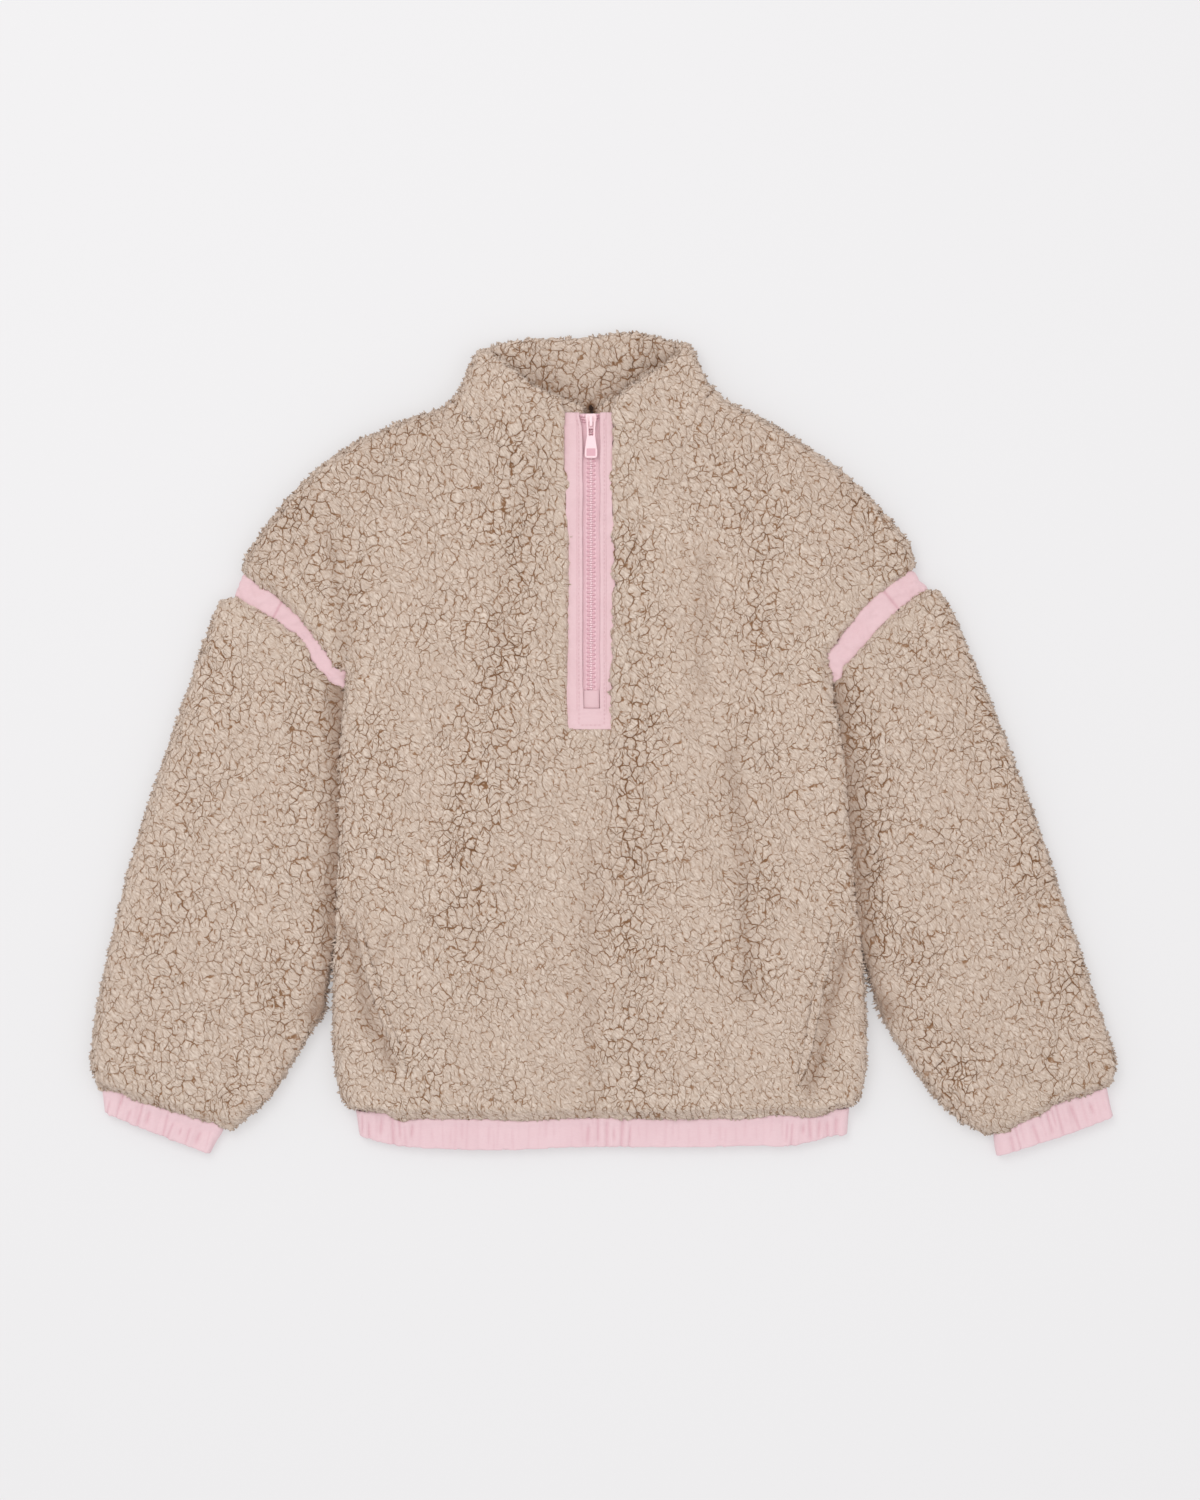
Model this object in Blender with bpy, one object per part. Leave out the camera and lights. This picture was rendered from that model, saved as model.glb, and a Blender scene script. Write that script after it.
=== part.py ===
"""Child's half-zip sherpa pullover, lying flat on its back panel.

Tables and sizes are in millimetres, and new_object turns them into metres.  X runs across
the garment, Y from the hem towards the collar, and Z up from the surface that it lies on.

Cloth lies in layers.  A Layer says where a piece's two walls meet at a fold and how far
they rise above and sink below it.  Every piece of cloth is a patch in plan.  outer_z() and
inner_z() give the heights of its two faces, and shell() closes them into one solid wall.
"""

from collections import namedtuple
import math

import bmesh
import bpy
from mathutils import Vector
from mathutils.bvhtree import BVHTree
import numpy as np

MM = 0.001
SEAM_GAP = 0.6  # between pieces that are sewn together
COLLAR_GAP = 0.9  # between the collar and the neckline, whose edges turn the most
FLANGE_GAP = 0.15  # from the fold's height to each panel, so that front and back stay apart
INNER_SHORT = 1.2  # how far a wall's inner face stops short of the seams at its edges
PILE_WALL = 8.8  # sherpa: the knitted ground and its pile
WOVEN_WALL = 2.9  # a woven strip with the seam allowances turned inside it
BAND_WALL = 4.1  # elasticated band: woven cloth, doubled over the elastic

Layer = namedtuple("Layer", "middle top bottom wall hollow fold drop seam")
# middle: height of the folds.  top, bottom: height of the outer faces.  wall: thickness at a
# fold.  hollow: the slack between the two walls.  fold: how wide a folded edge rounds.
# drop, seam: how far, and over what width, the face sinks towards a seam.
BODY = Layer(10.0, 20.3, 0.0, PILE_WALL, 2.6, 11.0, 4.5, 8.0)
SLEEVE = Layer(9.5, 19.3, 0.0, PILE_WALL, 2.2, 11.0, 4.5, 9.0)
ARM_BAND = Layer(9.7, 14.9, 4.6, WOVEN_WALL, 3.6, 4.5, 0.6, 4.0)
HEM = Layer(5.4, 10.9, 0.0, BAND_WALL, 2.6, 5.0, 0.5, 4.0)
CUFF = Layer(5.6, 11.1, 0.0, BAND_WALL, 2.6, 5.0, 0.5, 4.0)

# ---------------------------------------------------------------- outline of the body
Side = namedtuple("Side", "y left right")
SIDES = (  # from the hem up to the underarm
    Side(-267.8, -179.3, 178.6),
    Side(-257.0, -188.0, 185.5),
    Side(-241.0, -192.2, 188.6),
    Side(-213.8, -194.4, 190.4),
    Side(-182.0, -195.0, 188.9),
    Side(-143.3, -193.7, 186.6),
    Side(-105.0, -192.8, 182.2),
    Side(-59.0, -190.4, 178.0),
    Side(-26.0, -191.3, 176.2),
    Side(8.0, -189.8, 171.9),
)
Armhole = namedtuple("Armhole", "x y")
ARMHOLE_LEFT = (  # from the underarm up to the shoulder corner
    Armhole(-185.0, 50.9),
    Armhole(-196.6, 61.6),
    Armhole(-206.0, 73.8),
    Armhole(-213.6, 84.8),
    Armhole(-231.2, 102.0),
    Armhole(-245.0, 113.4),
    Armhole(-262.0, 127.0),
)
ARMHOLE_RIGHT = (
    Armhole(165.2, 43.5),
    Armhole(162.4, 55.0),
    Armhole(165.2, 67.6),
    Armhole(178.4, 85.6),
    Armhole(197.0, 105.8),
    Armhole(209.0, 115.4),
    Armhole(225.6, 127.4),
)
Shoulder = namedtuple("Shoulder", "x y")
SHOULDER_LEFT = (  # from the shoulder corner up to the neck
    Shoulder(-262.0, 127.0),
    Shoulder(-252.7, 142.6),
    Shoulder(-237.6, 164.2),
    Shoulder(-218.9, 185.8),
    Shoulder(-195.8, 206.4),
    Shoulder(-153.4, 229.0),
    Shoulder(-122.4, 239.6),
    Shoulder(-108.0, 243.6),
)
SHOULDER_RIGHT = (
    Shoulder(225.6, 127.4),
    Shoulder(221.5, 142.6),
    Shoulder(203.8, 164.6),
    Shoulder(184.3, 185.8),
    Shoulder(159.1, 206.8),
    Shoulder(121.7, 229.4),
    Shoulder(100.1, 243.0),
    Shoulder(79.5, 251.6),
)
Neck = namedtuple("Neck", "x y")
NECKLINE_LEFT = (  # front neckline, from the neck point down to the zip
    Neck(-108.0, 243.6),
    Neck(-96.6, 238.6),
    Neck(-91.0, 224.5),
    Neck(-79.0, 209.0),
    Neck(-55.0, 194.5),
    Neck(-27.9, 188.0),
)
NECKLINE_RIGHT = (
    Neck(79.5, 251.6),
    Neck(67.9, 245.8),
    Neck(64.0, 229.0),
    Neck(54.0, 209.0),
    Neck(33.0, 194.5),
    Neck(7.5, 188.0),
)
NECKLINE_BACK_LEFT = (  # back neckline, from each neck point to the middle
    Neck(-108.0, 243.6),
    Neck(-96.6, 238.6),
    Neck(-72.0, 234.8),
    Neck(-42.0, 233.2),
)
NECKLINE_BACK_RIGHT = (
    Neck(79.5, 251.6),
    Neck(67.9, 245.8),
    Neck(47.0, 239.4),
    Neck(20.0, 235.0),
)
BACK_NECK_Y = 233.2
HEM_SEAM_Y = -270.4  # height of the seam to the hem band, away from the corners
SLIT_LEFT_X = -27.9
SLIT_RIGHT_X = 7.5
SLIT_FOOT_Y = 10.4
BACK_SPLIT_X = -10.2  # where the two halves of the back's mesh meet
SLIT_LEVEL = 0.88  # the slit's foot, as a share of the side edge's length

# ---------------------------------------------------------------- outline of the sleeves
Edge = namedtuple("Edge", "x y")
SLEEVE_OUTER_LEFT = (  # from the armhole band down to the cuff
    Edge(-276.4, 101.8),
    Edge(-280.6, 90.0),
    Edge(-289.0, 67.0),
    Edge(-311.0, 2.2),
    Edge(-333.4, -62.6),
    Edge(-350.6, -127.4),
    Edge(-364.0, -192.2),
    Edge(-369.2, -229.0),
    Edge(-362.6, -250.2),
)
SLEEVE_OUTER_RIGHT = (
    Edge(242.8, 108.4),
    Edge(249.8, 97.0),
    Edge(262.6, 67.0),
    Edge(289.4, 2.2),
    Edge(313.9, -62.6),
    Edge(335.5, -127.4),
    Edge(357.1, -192.2),
    Edge(369.2, -232.0),
    Edge(365.6, -250.4),
)
SLEEVE_FREE_LEFT = (  # the inner edge below the place where it leaves the body
    Edge(-198.6, -189.0),
    Edge(-213.0, -209.5),
    Edge(-225.4, -235.4),
    Edge(-241.9, -257.0),
    Edge(-266.0, -277.6),
)
SLEEVE_FREE_RIGHT = (
    Edge(192.0, -181.0),
    Edge(202.6, -202.0),
    Edge(217.4, -224.6),
    Edge(240.4, -257.0),
    Edge(252.8, -269.6),
    Edge(277.0, -281.8),
)
LEAVES_BODY_LEFT_Y = -180.0
LEAVES_BODY_RIGHT_Y = -170.0
SLEEVE_CLEARANCE = 0.9  # sleeve to the side of the body that it lies beside
BAND_LOWER_LEFT = (  # lower edge of the armhole band, from the shoulder to the underarm
    Edge(-264.4, 107.2),
    Edge(-251.0, 98.8),
    Edge(-236.2, 90.6),
    Edge(-221.0, 77.4),
    Edge(-212.4, 66.6),
    Edge(-204.5, 53.6),
    Edge(-194.0, 43.4),
    Edge(-187.6, 36.6),
)
BAND_LOWER_RIGHT = (
    Edge(235.4, 110.0),
    Edge(221.0, 104.6),
    Edge(212.4, 96.9),
    Edge(202.3, 88.8),
    Edge(191.5, 76.6),
    Edge(179.6, 62.6),
    Edge(172.1, 52.4),
    Edge(167.6, 37.0),
)

# ---------------------------------------------------------------- cuffs and hem band
CUFF_STARTS = 0.015  # shares of the sleeve's lower edge, from its outer fold
CUFF_ENDS = 0.93
CUFF_FOOT_LEFT = (Edge(-359.3, -266.8), Edge(-326.0, -279.6), Edge(-283.0, -295.6))
CUFF_FOOT_RIGHT = (Edge(367.6, -267.6), Edge(330.0, -281.6), Edge(286.5, -295.2))
HEM_TOP_LEFT_X = -178.6
HEM_TOP_RIGHT_X = 178.0
HEM_FOOT = (
    Edge(-175.6, -283.6),
    Edge(-158.4, -288.6),
    Edge(-110.0, -293.0),
    Edge(-10.0, -291.4),
    Edge(90.7, -291.0),
    Edge(149.0, -288.2),
    Edge(176.2, -281.4),
)
Gather = namedtuple("Gather", "place depth")  # place: mm along X, or along the cuff
HEM_GATHERS = tuple(
    Gather(x, depth)
    for depth, places in (
        (1.1, (-168.5, -159.8, -151.0, -144.8, -137.5)),
        (0.6, (-121.0, -104.0, -90.0, -71.0, -55.0, -38.0, -24.0)),
        (1.0, (-10.8, -3.6, 2.9, 8.6, 14.0, 19.8)),
        (0.6, (35.0, 52.0, 66.0, 84.0, 99.0, 116.0)),
        (1.1, (130.5, 136.6, 143.6, 149.6, 155.5, 161.6, 168.0)),
    )
    for x in places
)
CUFF_GATHERS = tuple(
    Gather(place, depth)
    for place, depth in (
        (7.0, 0.9), (14.5, 1.2), (22.0, 0.9), (29.0, 1.1), (36.0, 0.8),
        (47.0, 1.1), (53.0, 0.9), (60.5, 1.2), (68.0, 0.8), (77.0, 1.1),
    )
)
GATHER_WIDTH = 2.2

# ---------------------------------------------------------------- folds in the cloth
Fold = namedtuple("Fold", "cloth x0 y0 x1 y1 width rise")
FOLDS = (
    Fold("body", -2, -20, -2, -262, 15, -2.3),  # down the centre front
    Fold("body", 52, 70, 52, -262, 17, 2.4),
    Fold("body", 72, 100, 102, -41, 13, -2.0),
    Fold("body", 102, -41, 122, -205, 13, -2.0),
    Fold("body", -66, 186, -62, 80, 14, -1.8),  # beside the zip
    Fold("body", -198, 150, -188, 76, 12, -2.4),  # from the shoulder to the underarm
    Fold("body", 212, 148, 182, 98, 12, -1.8),
    Fold("body", -112, 60, -108, -180, 34, 1.5),
    Fold("body", 148, 40, 150, -90, 18, 1.4),
    Fold("body", -186, -126, -156, -226, 7, -2.2),  # the slack cloth outside each pocket
    Fold("body", 172, -136, 148, -236, 7, -2.2),
    Fold("left", -198, 30, -208, -176, 17, -3.4),  # where the sleeve passes under the body
    Fold("right", 178, 30, 200, -166, 17, -3.0),
    Fold("left", -262, 40, -300, -130, 26, 1.6),
    Fold("left", -330, -60, -345, -170, 16, -1.2),
    Fold("right", 236, 30, 290, -120, 26, 1.6),
    Fold("right", 296, -176, 318, -220, 16, -1.8),
)
INNER_SHARE = 0.3  # of a fold's rise, in the face towards the hollow

# ---------------------------------------------------------------- collar
COLLAR_WALL = 11.0  # two layers of sherpa, turned at the top edge
LINING_WALL = 5.2  # only the inner layer runs on under the facing
COLLAR_BEND = 6.0  # radius of the wall's middle at the two folds
COLLAR_AXIS_Z = 11.5
RIM_LIFT = 2.6  # how far the front's top edge stands away from the back
COLLAR_SIDE = (-10.0, 300.0)  # a plan point on the collar's side of every neckline
FOLD_FEET = (Edge(-96.4, 240.6), Edge(67.6, 247.8))
Rim = namedtuple("Rim", "x y")
RIM_FRONT_LEFT = (  # top edge of the collar's left front, from its fold to the zip
    Rim(-81.0, 279.6),
    Rim(-68.6, 271.6),
    Rim(-55.0, 259.5),
    Rim(-41.5, 252.0),
    Rim(-28.4, 247.6),
    Rim(-13.2, 240.6),
)
RIM_FRONT_RIGHT = (
    Rim(53.6, 279.0),
    Rim(45.4, 272.6),
    Rim(33.0, 264.8),
    Rim(20.0, 256.2),
    Rim(8.0, 248.2),
    Rim(-4.6, 241.0),
)
RIM_BACK = (  # between the same two folds
    Rim(-74.5, 287.6),
    Rim(-52.0, 290.8),
    Rim(-14.0, 291.6),
    Rim(24.0, 295.8),
    Rim(48.5, 288.8),
)

# ---------------------------------------------------------------- zip
ZIP_X = -8.6
FACING_THICK = 2.5
FACING_Z = 13.5  # underside, below the neckline
FACING_LEFT_X = -27.5
FACING_RIGHT_X = 7.1
CHANNEL_LEFT_X = -14.6
CHANNEL_RIGHT_X = -2.2
FACING_FOOT_Y = 10.8
CHANNEL_FOOT_Y = 24.6
FACING_TOP_LEFT_Y = 235.8
FACING_TOP_RIGHT_Y = 237.6
TAPE_THICK = 1.0
TAPE_HALF = 10.0
TAPE_FOOT_Y = 15.0
TAPE_TOP_Y = 236.0
PATCH_TOP_Y = 38.0
PATCH_THICK = 0.9
CLIMB = 5.1  # how far the zip rises to pass over the collar's inner layer
CLIMB_FROM_Y = 140.0
CLIMB_TO_Y = 186.0
SLIDER_Y = 230.6
SLIDER_LENGTH = 11.0
SLIDER_WIDE = 8.6
SLIDER_NARROW = 6.6
SLIDER_HIGH = 3.6
SLIDER_CORNER = 2.0
SLIDER_RIM = 0.6
BRIDGE_WIDE = 2.2
BRIDGE_LENGTH = 7.6
BRIDGE_HIGH = 3.3
BRIDGE_THICK = 0.9
BRIDGE_POST = 1.3
AXLE_RADIUS = 0.55
AXLE_LENGTH = 6.0
TAB_THICK = 1.3
TAB_ARM_LENGTH = 10.5
TAB_ARM_WIDE = 1.35
TAB_ARM_GAP_TOP = 1.75  # half the gap between the arms, at the axle and at the plate
TAB_ARM_GAP_FOOT = 1.6
TAB_ARM_LAP = 1.2  # how far each arm runs into the plate
TAB_LENGTH = 26.4
TAB_WIDE_TOP = 6.2
TAB_WIDE_FOOT = 9.2
TAB_DROOP = math.radians(3.5)  # it hangs down onto the facing

# ---------------------------------------------------------------- pockets
Mouth = namedtuple("Mouth", "x y")
MOUTH_LEFT = (
    Mouth(-175.5, -127.4),
    Mouth(-171.5, -148.0),
    Mouth(-164.5, -174.0),
    Mouth(-156.5, -198.0),
    Mouth(-147.5, -220.0),
    Mouth(-141.5, -236.0),
)
MOUTH_RIGHT = (
    Mouth(164.5, -136.0),
    Mouth(161.0, -156.0),
    Mouth(154.0, -180.0),
    Mouth(149.5, -206.0),
    Mouth(145.0, -228.0),
    Mouth(139.5, -246.0),
)
MOUTH_WIDE = 7.0
MOUTH_END = 0.35  # of its width and height, at the two ends
MOUTH_HIGH = 2.6
MOUTH_SIDE_HIGH = 0.72  # of its height, beside the crown
MOUTH_CLEARANCE = 0.45
SectionPoint = namedtuple("SectionPoint", "across high")
MOUTH_SECTION = (  # along the underside, then back over the crown
    *(SectionPoint(across, 0.0) for across in (0.0, 0.25, 0.5, 0.75, 1.0)),
    SectionPoint(0.88, MOUTH_SIDE_HIGH),
    SectionPoint(0.5, 1.0),
    SectionPoint(0.12, MOUTH_SIDE_HIGH),
)

FLEECE = ((0.565, 0.455, 0.375), 0.95, 0.0)  # colour, roughness, metallic
WOVEN = ((0.815, 0.578, 0.617), 0.75, 0.0)
TAPE = ((0.790, 0.545, 0.585), 0.8, 0.0)
PAINTED = ((0.780, 0.500, 0.545), 0.4, 0.2)


# ================================================================ plan geometry
def smooth_step(value, start, end):
    """0 before start, 1 after end, and a soft rise between them."""
    t = np.clip((np.asarray(value, float) - start) / (end - start), 0.0, 1.0)
    return t * t * (3.0 - 2.0 * t)


def through(points, at):
    """The smooth curve through these points, read at shares of its length from 0 to 1."""
    knots = np.array([tuple(p) for p in points], float)
    at = np.clip(np.asarray(at, float), 0.0, 1.0)
    run = np.concatenate([[0.0], np.cumsum(np.linalg.norm(np.diff(knots, axis=0), axis=1))])
    run /= run[-1]
    slope = np.gradient(knots, run, axis=0)
    k = np.clip(np.searchsorted(run, at, side="right") - 1, 0, len(run) - 2)
    width = (run[k + 1] - run[k])[:, None]
    t = (at[:, None] - run[k][:, None]) / width
    return (
        knots[k] * (2 * t**3 - 3 * t**2 + 1)
        + slope[k] * width * (t**3 - 2 * t**2 + t)
        + knots[k + 1] * (3 * t**2 - 2 * t**3)
        + slope[k + 1] * width * (t**3 - t**2)
    )


def fine(points, count=80):
    return through(points, np.linspace(0.0, 1.0, count))


def straight(points, at):
    """The broken line through these points, read at shares of its length."""
    knots = np.array([tuple(p) for p in points], float)
    run = np.concatenate([[0.0], np.cumsum(np.linalg.norm(np.diff(knots, axis=0), axis=1))])
    return np.stack([np.interp(np.asarray(at) * run[-1], run, axis) for axis in knots.T], axis=1)


def length_of(line):
    return float(np.linalg.norm(np.diff(line, axis=0), axis=1).sum())


def moved_towards(line, target, distance):
    """The line moved aside by a distance, to the side where the target lies."""
    step = np.diff(line, axis=0)
    step /= np.linalg.norm(step, axis=1)[:, None]
    aside = np.stack([-step[:, 1], step[:, 0]], axis=1)
    mitre = np.concatenate([aside[:1], (aside[:-1] + aside[1:]) / 2.0, aside[-1:]])
    mitre /= np.maximum((mitre**2).sum(axis=1), 0.35)[:, None]
    sign = np.sign(((np.asarray(target, float) - line) * mitre).sum())
    return line + mitre * sign * distance


def distance_to(points, lines):
    """From each plan point to the nearest of these lines."""
    flat = points.reshape(-1, 2)
    least = np.full(len(flat), np.inf)
    for line in lines:
        start = line[:-1][None]
        step = np.diff(line, axis=0)[None]
        offset = flat[:, None] - start
        t = np.clip((offset * step).sum(2) / np.maximum((step**2).sum(2), 1e-9), 0.0, 1.0)
        away = np.linalg.norm(offset - t[..., None] * step, axis=2)
        least = np.minimum(least, away.min(axis=1))
    return least.reshape(points.shape[:-1])


def patch(foot, head, left, right, across, up):
    """A grid spanned between four edges: a Coons patch, rows from foot to head."""
    u = across[None, :, None]
    v = up[:, None, None]
    ruled = (1 - u) * left[:, None] + u * right[:, None]
    crossed = (1 - v) * foot[None] + v * head[None]
    corners = (
        (1 - u) * (1 - v) * foot[0] + u * (1 - v) * foot[-1]
        + (1 - u) * v * head[0] + u * v * head[-1]
    )
    return ruled + crossed - corners


def bunched(count):
    """Shares from 0 to 1 that crowd at both ends."""
    return (1.0 - np.cos(np.linspace(0.0, math.pi, count + 1))) / 2.0


def crowded_end(count, power=1.7):
    """Shares from 0 to 1 that crowd towards 1."""
    return 1.0 - (1.0 - np.linspace(0.0, 1.0, count + 1)) ** power


# ================================================================ heights
def dome(distance, radius):
    """A quarter circle: 0 at an edge, 1 from a radius inwards."""
    t = 1.0 - np.clip(distance / radius, 0.0, 1.0)
    return np.sqrt(np.maximum(1.0 - t * t, 0.0))


def rise_of(points, cloth):
    """How far the folds lift the upper wall of this cloth."""
    total = np.zeros(points.shape[:-1])
    for fold in FOLDS:
        if fold.cloth == cloth:
            line = np.array([[fold.x0, fold.y0], [fold.x1, fold.y1]], float)
            away = distance_to(points, [line])
            total += fold.rise * np.exp(-((away / fold.width) ** 2))
    return total


def outer_z(plan, layer, side, folds, seams, cloth=None):
    """Height of the outer face: side is 1 for the upper wall and -1 for the lower one."""
    from_fold = dome(distance_to(plan, folds), layer.fold)
    reach = layer.top - layer.middle if side > 0 else layer.middle - layer.bottom
    height = reach * from_fold
    if seams:
        height -= layer.drop * (1.0 - dome(distance_to(plan, seams), layer.seam)) * from_fold
    if cloth and side > 0:
        height += rise_of(plan, cloth) * from_fold
    return layer.middle + side * height


def inner_z(plan, layer, side, folds, cloth=None):
    """Height of the face towards the hollow, from that face's own folds."""
    from_fold = dome(distance_to(plan, folds), layer.fold)
    height = layer.hollow / 2.0 * from_fold
    if cloth and side > 0:
        height += INNER_SHARE * rise_of(plan, cloth) * from_fold
    return layer.middle + side * height


def climb(y):
    """How far the zip has risen by this height on the sheet, towards the collar."""
    return CLIMB * smooth_step(y, CLIMB_FROM_Y, CLIMB_TO_Y)


# ================================================================ solids
def material(name, look):
    found = bpy.data.materials.get(name)
    if found:
        return found
    colour, roughness, metallic = look
    made = bpy.data.materials.new(name)
    made.use_nodes = True
    shader = made.node_tree.nodes["Principled BSDF"]
    shader.inputs["Base Color"].default_value = (*colour, 1.0)
    shader.inputs["Roughness"].default_value = roughness
    shader.inputs["Metallic"].default_value = metallic
    made.diffuse_color = (*colour, 1.0)
    return made


def new_object(name, points, faces, look, origin=(0.0, 0.0, 0.0)):
    """A mesh object from points in millimetres, with its own origin."""
    origin = np.asarray(origin, float)
    mesh = bpy.data.meshes.new(name)
    mesh.from_pydata(((np.asarray(points, float) - origin) * MM).tolist(), [], faces)
    form = bmesh.new()
    form.from_mesh(mesh)
    bmesh.ops.delete(
        form, geom=[v for v in form.verts if not v.link_faces], context="VERTS"
    )
    bmesh.ops.recalc_face_normals(form, faces=form.faces)
    form.to_mesh(mesh)
    form.free()
    mesh.shade_smooth()
    mesh.set_sharp_from_angle(angle=math.radians(50))
    mesh.materials.append(material(*look))
    made = bpy.data.objects.new(name, mesh)
    made.location = origin * MM
    GARMENT.objects.link(made)
    return made


def shell(name, outer, inner, look, keep=None, ring=False):
    """One closed wall between two grids of the same size.

    keep says which cells are cloth.  With ring, the last column meets the first.
    """
    rows, columns = outer.shape[:2]
    count = rows * columns
    points = np.concatenate([outer.reshape(-1, 3), inner.reshape(-1, 3)])
    edges = {}
    faces = []
    for j in range(rows - 1):
        for i in range(columns if ring else columns - 1):
            if keep is not None and not keep[j, i]:
                continue
            following = (i + 1) % columns
            cell = (
                j * columns + i,
                j * columns + following,
                (j + 1) * columns + following,
                (j + 1) * columns + i,
            )
            faces.append(cell)
            faces.append(tuple(k + count for k in reversed(cell)))
            for a, b in zip(cell, cell[1:] + cell[:1]):
                if (b, a) in edges:
                    del edges[(b, a)]
                else:
                    edges[(a, b)] = True
    for a, b in edges:
        faces.append((b, a, a + count, b + count))
    return new_object(name, points, faces, look)


def lifted(plan, height):
    return np.concatenate([plan, np.asarray(height)[..., None]], axis=-1)


def ring_of(upper, lower):
    """Upper and lower walls as one ring, which share their first and last columns."""
    return np.concatenate([upper, lower[:, -2:0:-1]], axis=1)


def loft(name, loops, look, origin=(0.0, 0.0, 0.0)):
    """A closed solid through loops of points, capped at both ends."""
    size = len(loops[0])
    points = np.concatenate(loops)
    faces = [tuple(range(size)), tuple(range(len(points) - 1, len(points) - 1 - size, -1))]
    for j in range(len(loops) - 1):
        for i in range(size):
            k = (i + 1) % size
            faces.append((j * size + k, j * size + i, (j + 1) * size + i, (j + 1) * size + k))
    return new_object(name, points, faces, look, origin)


# ================================================================ body
def side_line(which):
    """A side edge from the hem to the underarm, as points of the table and its armhole."""
    armhole = ARMHOLE_LEFT if which == "left" else ARMHOLE_RIGHT
    return [(getattr(row, which), row.y) for row in SIDES] + [tuple(armhole[0])]


Outline = namedtuple("Outline", "side armhole shoulder neckline")
OUTLINES = {
    "left": Outline(side_line("left"), ARMHOLE_LEFT, SHOULDER_LEFT, NECKLINE_LEFT),
    "right": Outline(side_line("right"), ARMHOLE_RIGHT, SHOULDER_RIGHT, NECKLINE_RIGHT),
}
BODY_CENTRE = (-8.0, -40.0)
FOLD_LINES = [
    fine(line) for o in OUTLINES.values() for line in (o.side, o.shoulder)
]
HEM_LINE = np.array(
    [OUTLINES["left"].side[0], (-160.0, HEM_SEAM_Y), (160.0, HEM_SEAM_Y),
     OUTLINES["right"].side[0]]
)
LOWER_ROWS = 12
BACK_LOWER_ROWS = 7
SIDE_ROWS = 3  # between the foot of the slit and the underarm
ARMHOLE_ROWS = 8
ARMHOLE_SHARES = crowded_end(ARMHOLE_ROWS, 1.3)
SHOULDER_COLUMNS = 8
NECK_COLUMNS = 6
HALF_COLUMNS = SHOULDER_COLUMNS + NECK_COLUMNS
COLUMN_SHARES = bunched(HALF_COLUMNS)
NECK_SHARES = (COLUMN_SHARES[SHOULDER_COLUMNS:] - COLUMN_SHARES[SHOULDER_COLUMNS]) / (
    1.0 - COLUMN_SHARES[SHOULDER_COLUMNS]
)


def armhole_line(which):
    """The armhole's edge, as the body's rows and the armhole band both have it."""
    return through(OUTLINES[which].armhole, ARMHOLE_SHARES)


def trimmed(line, shares, inset):
    """Shares of a line's length that keep clear of its two ends by the inset."""
    trim = inset / length_of(line)
    return trim + (1.0 - 2.0 * trim) * shares


def half_body(which, inner_x, neckline, low, inset):
    """One half of a body panel, column 0 at the side and the last one at inner_x.

    low: how many rows lie below the slit's foot.
    inset: how far a folded edge lies inwards, 0 for the outer face.
    """
    outline = OUTLINES[which]
    share = COLUMN_SHARES
    down = 1.0 - crowded_end(low, 1.5)[::-1]  # crowds at the hem
    up = crowded_end(SIDE_ROWS + ARMHOLE_ROWS)
    neck_y = neckline[-1][1]
    foot_y = HEM_LINE[1][1]
    inner_y = np.concatenate(
        [foot_y + (SLIT_FOOT_Y - foot_y) * down, SLIT_FOOT_Y + (neck_y - SLIT_FOOT_Y) * up[1:]]
    )
    level = (inner_y - foot_y) / (neck_y - foot_y)
    inner_edge = np.stack([np.full(len(inner_y), inner_x), inner_y], axis=1)

    rest = np.linspace(SLIT_LEVEL, 1.0, SIDE_ROWS + 1)[1:]
    side_edge = through(outline.side, np.concatenate([down * SLIT_LEVEL, rest]))
    side_edge = moved_towards(side_edge, BODY_CENTRE, inset)
    short = INNER_SHORT if inset else 0.0
    armhole = straight(armhole_line(which), trimmed(armhole_line(which), ARMHOLE_SHARES, inset))
    armhole = moved_towards(armhole, BODY_CENTRE, short)
    outer_edge = np.concatenate([side_edge, armhole[1:]])

    on_shoulder = share[: SHOULDER_COLUMNS + 1] / share[SHOULDER_COLUMNS]
    shoulder = through(outline.shoulder, on_shoulder)
    shoulder = moved_towards(shoulder, BODY_CENTRE, inset)
    shoulder[0] = outer_edge[-1]
    neck = through(neckline, NECK_SHARES)
    trim = inset / length_of(neck)
    neck = straight(neck, trim + (1.0 - trim) * NECK_SHARES)
    neck = moved_towards(neck, BODY_CENTRE, short)
    head = np.concatenate([shoulder[:-1], neck])
    head[-1] = inner_edge[-1]

    corner = side_edge[0]
    hem_x = corner[0] + (inner_x - corner[0]) * share
    hem_y = np.interp(np.abs(hem_x), [160.0, abs(corner[0])], [foot_y, corner[1]])
    foot = np.stack([hem_x, hem_y], axis=1)
    foot[0] = corner
    foot[-1] = inner_edge[0]
    return patch(foot, head, outer_edge, inner_edge, share, level)


def inner_folds(plan):
    """The folds of a body panel's inner face: its sides and its shoulders."""
    side = plan.shape[0] - ARMHOLE_ROWS
    return [
        plan[:side, 0],
        plan[:side, -1],
        plan[-1, : SHOULDER_COLUMNS + 1],
        plan[-1, -SHOULDER_COLUMNS - 1 :],
    ]


def seam_lines(necklines, slit):
    lines = [fine(o.armhole) for o in OUTLINES.values()] + [HEM_LINE]
    lines += [fine(line) for line in necklines]
    if slit:
        for x in (SLIT_LEFT_X, SLIT_RIGHT_X):
            lines.append(np.array([(x, SLIT_FOOT_Y), (x, NECKLINE_LEFT[-1].y)]))
        lines.append(np.array([(SLIT_LEFT_X, SLIT_FOOT_Y), (SLIT_RIGHT_X, SLIT_FOOT_Y)]))
    return lines


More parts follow.
